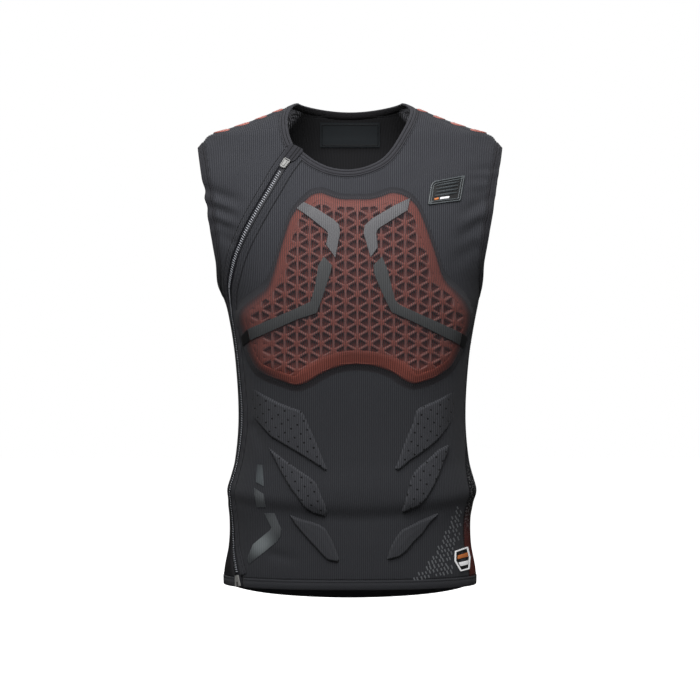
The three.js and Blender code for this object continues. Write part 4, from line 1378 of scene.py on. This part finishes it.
# Sheer knit over the pad, its columns half a rib apart, clearer over the pad than beyond its edge
def chestCover():
    margin, ridge = cover["margin"], cover["ridge"]
    arcs = np.arange(-140, 151) * ribPitch / 2
    low, high = np.full(arcs.shape, -290.0), np.full(arcs.shape, -200.0)
    for _ in range(6):
        lowX, highX = (formPoint(angleOfArc(arcs, level), level)[:, 0] for level in (low, high))
        low = low * 0.4 + padEdges(lowX)[0] * 0.6
        high = high * 0.4 + padEdges(highX)[1] * 0.6
    middle = (low + high) / 2
    x, ends = formPoint(angleOfArc(arcs, middle), middle)[:, 0], chestOutline[:, 0]
    kept = (x > ends.min() - margin) & (x < ends.max() + margin)
    arcs, low, high = arcs[kept], low[kept] - margin, high[kept] + margin
    share = np.linspace(0, 1, cover["rows"])[:, None]
    level = low[None, :] * (1 - share) + high[None, :] * share
    arc = np.broadcast_to(arcs[None, :], level.shape)
    angle = angleOfArc(arc, level)
    points = formPoint(angle, level)
    inside = edgeDistance(points[..., ::2], chestOutline)
    ridge = np.where(np.round(arcs / (ribPitch / 2)) % 2 == 0, ridge, -ridge)
    far = np.abs(points[..., 0] - cover["middle"])
    # Painted light and shade in how clear the cover is: clearer low down and along the arch, for
    # the weaker light low on the pad and the highlight on its bottom border; less clear towards the
    # wing ends, partly a thicker cover, partly painted shade where the wings turn away
    arch = smoothStep(-level, 295, 325) * (1 - smoothStep(inside, 14, 22))
    arch = arch * (1 - smoothStep(far, 75, 115))
    clear = cover["clear"] + cover["clearLow"] * smoothStep(-level, 290, 330)
    clear = clear + cover["clearArch"] * arch
    soft = cover["soft"][0] + cover["soft"][1] * smoothStep(far, 95, 130)
    clear = clear * smoothStep(inside, -5.0, soft) * (1 - 0.14 * smoothStep(far, 120, 150))
    made = Shape()
    made.grid(skin(angle, level, coverLift(inside) + ridge), paired(arc, level))
    return made.piece("chest_cover_knit", coverKnit, "sheer_knit", "chest_cover",
                      opacity=1 - clear)


coverSheet = chestCover()
print("cover ready")

# Abdomen pads: upper and lower edge of each, both run from its outer end to its inner tip
abdomen = {
    "height": 4.2,
    "rim": 3.2,
    "fade": {"upper": 34, "middle": 0, "lower": 0},
    "right": {
        "upper": (
            [(-135.5, -346), (-126, -355), (-113, -362.5), (-90, -374), (-68, -381.5),
             (-61.5, -384.5), (-56.5, -395), (-45, -421), (-33.5, -449.5), (-29, -459)],
            [(-133, -387), (-123.5, -397.5), (-115.5, -405), (-102.5, -418), (-90, -425.5),
             (-64, -440.5), (-43.5, -453.5), (-32, -461.5)],
        ),
        "middle": (
            [(-106.5, -431), (-90, -443.5), (-64, -461.5), (-50, -470.5), (-43.5, -477),
             (-40, -484.5), (-36, -495.5), (-32, -504), (-29.5, -515)],
            [(-106.5, -431), (-99, -445), (-90, -463.5), (-77, -485), (-66.5, -498), (-58, -509.5),
             (-47.5, -516.5), (-32, -521)],
        ),
        "lower": (
            [(-79.5, -518), (-64, -523.5), (-51.5, -526.5), (-38.5, -531), (-31, -536.5),
             (-24.5, -548), (-19.5, -559.5), (-13.5, -576)],
            [(-79.5, -518), (-70.5, -532.5), (-58, -547), (-45, -561), (-34.5, -572.5),
             (-28.5, -577.5), (-15.5, -580)],
        ),
    },
    "left": {
        "upper": (
            [(143.5, -354), (128.5, -362), (115.5, -368.5), (102.5, -374), (89.5, -380),
             (85, -384.5), (82, -398), (70.5, -425), (63, -446), (57.5, -459)],
            [(143, -389), (138, -394), (129, -405.5), (115.5, -421), (102.5, -432), (90, -441),
             (78, -448.5), (63, -461.5)],
        ),
        "middle": (
            [(129, -428), (115.5, -434), (102.5, -445.5), (90, -455.5), (83.5, -463), (79, -471),
             (77, -478.5), (74.5, -488.5), (67, -512.5)],
            [(129, -428), (127.5, -438.5), (122, -451), (117, -465.5), (109, -482), (99, -497.5),
             (90, -506.5), (79.5, -511.5), (68, -516)],
        ),
        "lower": (
            [(117, -516.5), (103, -521.5), (90, -526.5), (77, -533), (67, -537.5), (59, -548),
             (52.5, -559.5), (47.5, -575)],
            [(117, -516.5), (112, -522), (103, -531), (94, -544), (83.5, -554), (74.5, -565),
             (64, -573.5), (50, -577)],
        ),
    },
}


# A pad moulded under the knit between its two edges: rounded at the rim, crowned inside, sinking
# into the wall over the fade at its outer end
def mouldedPad(word, place, finish):
    ends, share = (0.5 - 0.5 * np.cos(np.linspace(0, np.pi, count)) for count in (80, 44))
    upper, lower = (spread(line, ends) for line in abdomen[word][place])
    height, fade = abdomen["height"], abdomen["fade"][place]
    outline = evened(np.r_[lower, upper[::-1]], 200)
    share = share[:, None, None]
    flat = lower[None] * (1 - share) + upper[None] * share
    if upper[0, 0] > upper[-1, 0]:
        flat = flat[:, ::-1]
    inside = np.maximum(edgeDistance(flat, outline), 0)
    edge = 1 - (1 - np.clip(inside / abdomen["rim"], 0, 1)) ** 2.4
    rise = smoothStep(np.abs(flat[..., 0] - upper[0, 0]), -1, fade) if fade else 1.0
    lift = -0.6 + (height + 0.6) * edge * (0.88 + 0.12 * smoothStep(inside, 2, 14)) * rise
    made = Shape()
    made.grid(frontSkin(flat, lift), flat)
    made.grid(frontSkin(flat, -0.7)[:, ::-1], flat[:, ::-1])
    pad = made.piece(word + "_pad_" + place, finish, "padding", word + "_abdomen_pad_" + place)


for place in ("upper", "middle", "lower"):
    for word in ("left", "right"):
        mouldedPad(word, place, lowPadKnit if place == "lower" else padKnits[word])
print("abdomen pads ready")

# Films: outer and inner edge of each stripe, seen from the front
film = {
    "thick": 0.55,
    "steps": 60,
    "right_upper": (
        [(-68.5, -122.5), (-30.5, -152.5), (-28.4, -155), (-28, -158.5), (-30, -171)],
        [(-59.5, -114.5), (-20.5, -139.2), (-14, -145.5), (-12.8, -156), (-18.5, -187)],
    ),
    "left_upper": (
        [(73, -127), (38, -149), (34.6, -152), (33.4, -157), (35, -174)],
        [(77.5, -109), (28, -138), (18.6, -146.5), (17.2, -156), (26, -186.5)],
    ),
    "right_lower": (
        [(-33, -185.5), (-40, -197), (-43.5, -222), (-49, -241.5), (-65, -249.5), (-126.5, -276.5)],
        [(-22.5, -197), (-25, -207), (-33.5, -234), (-41.5, -256.5), (-65, -264.2), (-123.5, -291)],
    ),
    "left_lower": (
        [(40.5, -185.5), (47, -202), (51, -219), (56, -239.5), (62, -246), (86, -257),
         (138.5, -281.5)],
        [(29.5, -196.5), (31, -209), (38, -226), (45.5, -242.5), (52, -255.2), (86, -271),
         (137.5, -297.5)],
    ),
    "right_end": ([(-127.5, -277), (-139.5, -287)], [(-124.5, -291.5), (-137.5, -299.5)]),
    "left_end": ([(139.5, -282), (149.5, -287)], [(138.5, -298), (148, -302.5)]),
    "hip": [
        ([(-121, -454), (-122.5, -477)], [(-114, -454.5), (-112, -482)]),
        ([(-125, -484.5), (-122, -510)], [(-112, -492), (-110, -509.5)]),
        ([(-111.5, -517.5), (-102, -536), (-104, -539), (-126.5, -558.5), (-134.5, -577.5)],
         [(-98.5, -517), (-89, -537.5), (-90, -546), (-94.5, -553.5), (-131.5, -584.5)]),
    ],
}


# Lift of a film that lies on the cover
def onCover(spots):
    return coverLift(edgeDistance(spots, chestOutline)) + 0.55


# Lift of a film that lies on the knit
def onKnit(spots):
    return np.full(spots.shape[:-1], 0.2)


# A film stripe between its two edges: a thin profile carried from end to end
def stripe(name, finish, slotName, node, edges, lift):
    first, second = (stepped(edge, film["steps"])[:, None] for edge in edges)
    share = np.array([0.0, 0.0, 0.06, 0.5, 0.94, 1.0, 1.0])[None, :, None]
    rise = np.array([-0.25, 0.75, 1.0, 1.0, 1.0, 0.75, -0.25])[None, :] * film["thick"]
    flat = first * (1 - share) + second * share
    made = Shape()
    made.grid(frontSkin(flat, lift(flat) + rise), flat, across=True, caps=True)
    made.piece(name, finish, slotName, node, turn=True, sharp=50)


# The black stripe ends are painted shade: the silver stripe where it lies in shade
for place, finish, slotName in (("upper", silver, "silver_film"), ("lower", darkFilm, "dark_film"),
                                ("end", blackRubberAndShade, "badge_rubber")):
    for word in ("left", "right"):
        stripe(word + "_stripe_" + place, finish, slotName, word + "_chest_stripe_" + place,
               film[word + "_" + place], onCover)
for number, edges in enumerate(film["hip"], 1):
    stripe("hip_film_" + str(number), hipFilm, "dark_film", "hip_stripe_" + str(number), edges,
           onKnit)
print("stripes ready")

# Shoulder pads: knit-covered foam with a row of oblong foam slots along the ridge
shoulderPad = {
    "fromAngle": 82,
    "toAngle": 114,
    "bottom": -17,
    "top": 14,
    "height": 1.3,
    "steps": 46,
    "slots": [(-16.2, -11.6), (-8, -2.2), (1.6, 7.0), (11.0, 16.0)],
    "slotAngles": (83.6, 95.5),
    "slotRings": [(1.0, 0.4), (1.0, 1.5), (0.9, 1.9), (0.7, 2.0), (0.35, 2.0), (0.02, 2.0)],
}


# A low pad over the ridge, rounded at its rim
def shoulderKnitPad(sign, word):
    across, up = np.meshgrid(*[np.linspace(0, 1, shoulderPad["steps"])] * 2)
    first, low = shoulderPad["fromAngle"], shoulderPad["bottom"]
    angle = sign * (first + (shoulderPad["toAngle"] - first) * across)
    level = low + (shoulderPad["top"] - low) * up
    rim = np.minimum(np.minimum(across, 1 - across) * 45, np.minimum(up, 1 - up) * 60)
    lift = -0.5 + (shoulderPad["height"] + 0.5) * (1 - (1 - np.clip(rim / 5, 0, 1)) ** 2.2)
    flip = slice(None, None, sign)
    cloth = paired(arcAt(angle, level), level)[:, flip]
    made = Shape()
    made.grid(skin(angle, level, lift)[:, flip], cloth)
    made.grid(skin(angle, level, -0.6)[:, flip][:, ::-1], cloth[:, ::-1])
    pad = made.piece(word + "_shoulder_pad_knit", knit, "padding", word + "_shoulder_pad")


# Each slot is a rounded oblong, its rings shrinking as they rise
def shoulderSlots(sign, word):
    front, back = shoulderPad["slotAngles"]
    turn = np.linspace(0, 2 * np.pi, 41)[:40]
    ringX, ringZ = (np.sign(part) * np.abs(part) ** 0.6 for part in (np.cos(turn), np.sin(turn)))
    made = Shape()
    for bottom, top in shoulderPad["slots"]:
        layers = []
        for size, lift in shoulderPad["slotRings"]:
            angle = (front + back) / 2 + (back - front) / 2 * (ringX * size)
            level = (bottom + top) / 2 + (top - bottom) / 2 * (ringZ * size)
            layers.append(skin(sign * angle, level, lift))
        made.grid(np.stack(layers, 0), across=True)
    made.piece(word + "_shoulder_slots", slotFoam, "pad_foam", turn=True)


for sign, word in ((1, "left"), (-1, "right")):
    shoulderKnitPad(sign, word)
    shoulderSlots(sign, word)


# A closed bead along an outline, between two insets
def rimBead(made, outline, near, far, low, high):
    inward = inwardOf(outline)
    profile = [(near, low), (near + 0.1, high - 0.3), ((near + far) / 2, high),
               (far - 0.1, high - 0.3), (far, low)]
    layers = [frontSkin(outline + inward * inset, lift) for inset, lift in profile]
    made.grid(np.stack(layers, 1), across=True, along=True)


# Chest badge: a dark plate with a double moulded rim, straight ribs along it and two plain bars,
# whose places are shares of the badge's length and height. Rims and ribs are pale rubber, partly a
# painted highlight, and the black plate between them is painted shade
badge = {
    "corners": [(101, -116.5), (144, -110.5), (150.5, -76), (106, -85.5)],
    "radii": (2.5, 3.0, 1.5, 7.0),
    "ribs": (0.36, 0.5, 0.64, 0.78),
    "ribEnds": (0.17, 0.85),
    "ribProfile": [(-1.4, 0.0), (-0.8, 1.2), (0.0, 1.7), (0.8, 1.2), (1.4, 0.0)],
    "barHeights": (0.17, 0.25),
    "orangeBar": (0.17, 0.3),
    "paleBar": (0.34, 0.62),
}


# The plate is stacked rings, a rim is a bead along the outline, and a rib is a profile carried
# along the badge, smaller towards its ends
def chestBadge():
    corners = np.array(badge["corners"])
    lowLeft, lowRight, highRight, highLeft = corners

    # Places at shares of the badge's length and height
    def onBadge(along, up):
        low = lowLeft + (lowRight - lowLeft) * along
        high = highLeft + (highRight - highLeft) * along
        return low + (high - low) * up

    outline = rounded(corners, badge["radii"], 8)
    # Black plate: painted shade between the ridges
    made = Shape()
    plateRings(made, outline, [(0, -0.3), (0, 0.9), (0.4, 1.2), (2.0, 1.2)])
    made.piece("chest_badge_plate", blackRubberAndShade, "badge_rubber", "chest_badge", turn=True, sharp=60)
    # Rims and ribs in pale rubber, partly a painted highlight
    made = Shape()
    rimBead(made, outline, 0.2, 1.7, 0.9, 2.6)
    rimBead(made, outline, 3.0, 4.3, 0.9, 2.3)
    size = np.sin(np.linspace(0.12, math.pi - 0.12, 30)) ** 0.5
    for up in badge["ribs"]:
        line = onBadge(np.linspace(*badge["ribEnds"], 30)[:, None], up)
        aside = unit(line[-1] - line[0]) @ np.array([(0, 1), (-1, 0)])
        layers = [frontSkin(line + aside * offset * size[:, None], 0.9 + rise * size)
                  for offset, rise in badge["ribProfile"]]
        made.grid(np.stack(layers, 1), across=True, caps=True)
    made.piece("chest_badge_ridges", rubberAndHighlight, "badge_rubber", turn=True, sharp=60)
    low, high = badge["barHeights"]
    for name, finish, slotName, (first, last) in (
            ("orange_bar", accent, "pad_foam", badge["orangeBar"]),
            ("pale_bar", printInk, "zip_hardware", badge["paleBar"])):
        spots = ((first, low), (last, low), (last, high), (first, high))
        made = Shape()
        plateRings(made, rounded([onBadge(*spot) for spot in spots], 0.5),
                   [(0, 1.0), (0, 2.2), (0.3, 2.5)])
        made.piece("chest_badge_" + name, finish, slotName, turn=True, sharp=40)


# Hem badge: a plain hexagon with a light raised rim and two plain bars across it
hemPatch = {
    "corners": [(136, -581), (144, -595), (156.5, -593.5), (158, -578.5), (154.5, -564),
                (136.5, -568)],
    "paleBar": [(144, -588.2), (154, -587), (154.6, -581.8), (141.2, -583.4)],
    "orangeBar": [(140.2, -578.8), (154.8, -577), (154, -571.6), (140.2, -574)],
    "barRings": [(0, 1.0), (0, 1.6), (0.2, 1.7)],
}


# The plate and the bars are stacked rings, the rim is a bead along the outline
def hemBadge():
    outline = rounded(hemPatch["corners"], 1.2)
    made = Shape()
    plateRings(made, outline, [(0, -0.3), (0, 1.0), (0.4, 1.3), (1.2, 1.3)])
    made.piece("hem_badge_plate", blackRubberAndShade, "badge_rubber", "hem_badge", turn=True, sharp=50)
    made = Shape()
    rimBead(made, outline, 0.0, 2.0, 0.9, 1.9)
    plateRings(made, rounded(hemPatch["paleBar"], 0.8), hemPatch["barRings"])
    made.piece("hem_badge_rim", printInk, "zip_hardware", turn=True, sharp=50)
    made = Shape()
    plateRings(made, rounded(hemPatch["orangeBar"], 0.8), hemPatch["barRings"])
    made.piece("hem_badge_bar", accent, "pad_foam", turn=True, sharp=40)


# Label inside the back of the neck: a thin bare patch with a pressed line round it
label = {
    "x": (-41, 41),
    "z": (-25.5, 6.5),
    "inset": 2,
    "radius": 2.0,
    "lifts": (-2.3, -3.3),
    "line": [(0.0, -3.2), (0.1, -3.6), (0.8, -3.6), (0.9, -3.2)],
}


# Two grids inside the back wall, one a label's thickness from the other, and a profile carried
# round the inset outline
def neckLabel():
    # Points on the back wall at places seen from the front
    def behindNeck(spots, lift):
        angle, level = seenAt(spots[..., 0], spots[..., 1], 1)
        return skin(angle % 360, level, lift)

    (left, right), (low, high) = label["x"], label["z"]
    outer, inner = label["lifts"]
    flat = np.stack(np.meshgrid(np.linspace(left, right, 30), np.linspace(low, high, 14)), -1)
    made = Shape()
    made.grid(behindNeck(flat, outer), flat)
    made.grid(behindNeck(flat, inner)[:, ::-1], flat[:, ::-1])
    made.piece("neck_label_patch", labelFilm, "label_film", "neck_label")
    inset = label["inset"]
    left, right, low, high = left + inset, right - inset, low + inset, high - inset
    corners = [(left, low), (right, low), (right, high), (left, high)]
    outline = evened(rounded(corners, label["radius"]), 160)
    inward = inwardOf(outline)
    made = Shape()
    layers = [behindNeck(outline + inward * inset, lift) for inset, lift in label["line"]]
    made.grid(np.stack(layers, 1), across=True, along=True)
    made.piece("neck_label_line", blackRubberAndShade, "label_film", turn=True)


chestBadge()
hemBadge()
neckLabel()

# Printed dashes on the lower left front: short slanting strokes, staggered in rows up towards the
# hip and kept inside a field
dashes = {
    "field": [
        (79, -604), (96, -588), (112, -566.5), (122.5, -546), (132, -527), (140, -510), (146, -508),
        (147, -530), (145.5, -554), (134.5, -566), (134, -587), (137, -604),
    ],
    "start": (78.0, -603.0),
    "across": (4.9, 0.8),
    "up": (1.4, 6.0),
    "lean": (-0.42, 1.0),
    "ring": [(-2.6, -0.85), (2.2, -0.85), (2.7, 0.0), (2.6, 0.85), (-2.2, 0.85), (-2.7, 0.0)],
    "seed": 4,
    "scatter": 0.35,
    "kept": 0.92,
    "sizes": (0.6, 1.1),
    "lifts": (-0.1, 0.35),
}


# A slanting grid of places, each moved a little, with a six-sided stroke of its own length at each
def printedDashes():
    i, j = np.meshgrid(np.arange(-6, 20), np.arange(0, 18), indexing="ij")
    spots = np.array(dashes["start"]) + i[..., None] * dashes["across"]
    spots = spots + j[..., None] * dashes["up"]
    chance = np.random.default_rng(dashes["seed"])
    spots = (spots + chance.normal(0, dashes["scatter"], spots.shape)).reshape(-1, 2)
    spots = spots[chance.random(len(spots)) < dashes["kept"]]
    spots = spots[edgeDistance(spots, np.array(dashes["field"])) > 0.5]
    lean = unit(np.array(dashes["lean"]))
    thin = np.array([lean[1], -lean[0]])
    ring = np.array(dashes["ring"])
    size = chance.uniform(*dashes["sizes"], len(spots))[:, None, None]
    flat = spots[:, None] + ring[None, :, :1] * lean * size + ring[None, :, 1:] * thin
    points = np.concatenate([frontSkin(flat, lift) for lift in dashes["lifts"]], 1)
    count = len(ring)
    n = np.arange(count)
    after = (n + 1) % count
    walls = np.stack([n, after, count + after, count + n], -1)
    starts = np.arange(len(spots))[:, None, None] * 2 * count
    faces = [(walls[None] + starts).reshape(-1, 4), (count + n)[None] + starts[:, :, 0]]
    made = Shape()
    made.add(points, faces, np.concatenate([flat, flat], 1))
    made.piece("hip_dashes", dashInk, "silver_film", turn=True, sharp=30)


printedDashes()
print("badges and prints ready")

# Camera: straight in front at the middle of the picture, which is 935 mm wide at the shoulder line
cameraTable = {"distance": 3.2, "height": -0.3046, "width": 0.9352, "sensor": 36, "far": 50}
camera = bpy.data.objects.new("camera", bpy.data.cameras.new("camera"))
camera.data.sensor_width = cameraTable["sensor"]
camera.data.lens = cameraTable["sensor"] * cameraTable["distance"] / cameraTable["width"]
camera.data.clip_end = cameraTable["far"]
camera.location = (0, -cameraTable["distance"], cameraTable["height"])
camera.rotation_euler = (math.pi / 2, 0, 0)
scene = bpy.context.scene
scene.collection.objects.link(camera)
scene.camera = camera

# Pale floor some way below, which throws no light on the vest
floorTable = {"half": 9, "level": -0.86, "colour": (246, 246, 246), "glow": (255, 255, 255)}


# A level square that glows for the camera
def stage():
    half, level = floorTable["half"], floorTable["level"]
    mesh = bpy.data.meshes.new("floor")
    corners = [(x * half, y * half, level) for x, y in ((-1, -1), (1, -1), (1, 1), (-1, 1))]
    mesh.from_pydata(corners, [], [(0, 1, 2, 3)])
    paint = Finish("floor", Base_Color=shade(*floorTable["colour"]), Roughness=0.9,
                   Emission_Color=shade(*floorTable["glow"]), Emission_Strength=1.0)
    mesh.materials.append(paint.material)
    floor = bpy.data.objects.new("floor", mesh)
    floor.visible_diffuse = False
    floor.visible_glossy = False
    scene.collection.objects.link(floor)


stage()

# Soft light: a broad one high in front, one above, weaker ones in front and at the sides, and one
# behind; each has a place, a target, a size and a power
lights = [
    ("key", (-0.14, -1.15, 0.75), (0, 0, -0.1), 1.1, 19.5),
    ("top", (0, -0.55, 1.5), (0, 0, -0.1), 0.9, 9),
    ("front", (0.4, -3.4, 0.1), (0, 0, -0.3), 1.8, 2.5),
    ("left", (2.2, -1.2, 0.4), (0, 0, -0.35), 1.2, 5.4),
    ("right", (-2.2, -1.2, 0.6), (0, 0, -0.3), 1.2, 3.4),
    ("behind", (0, 2.4, 1.2), (0, 0, -0.3), 1.6, 30),
]
for name, place, target, size, power in lights:
    data = bpy.data.lights.new(name, "AREA")
    data.size = size
    data.energy = power
    lamp = bpy.data.objects.new(name, data)
    lamp.location = place
    direction = np.array(place) - np.array(target)
    flat = math.hypot(direction[0], direction[1])
    turn = math.atan2(direction[0], -direction[1])
    lamp.rotation_euler = (math.atan2(flat, direction[2]), 0, turn)
    scene.collection.objects.link(lamp)

# White surround for the camera, dim for everything that it lights
surround = {"dim": 0.055, "seen": 1.0}
world = bpy.data.worlds.new("surround")
world.use_nodes = True
sky = world.node_tree
background = sky.nodes["Background"]
path = sky.nodes.new("ShaderNodeLightPath")
mix = sky.nodes.new("ShaderNodeMix")
mix.data_type = "FLOAT"
mix.inputs[2].default_value = surround["dim"]
mix.inputs[3].default_value = surround["seen"]
sky.links.new(path.outputs["Is Camera Ray"], mix.inputs[0])
sky.links.new(mix.outputs[0], background.inputs["Strength"])
background.inputs["Color"].default_value = (1, 1, 1, 1)
scene.world = world
scene.view_settings.view_transform = "Standard"
scene.cycles.use_denoising = True

print("scene ready")
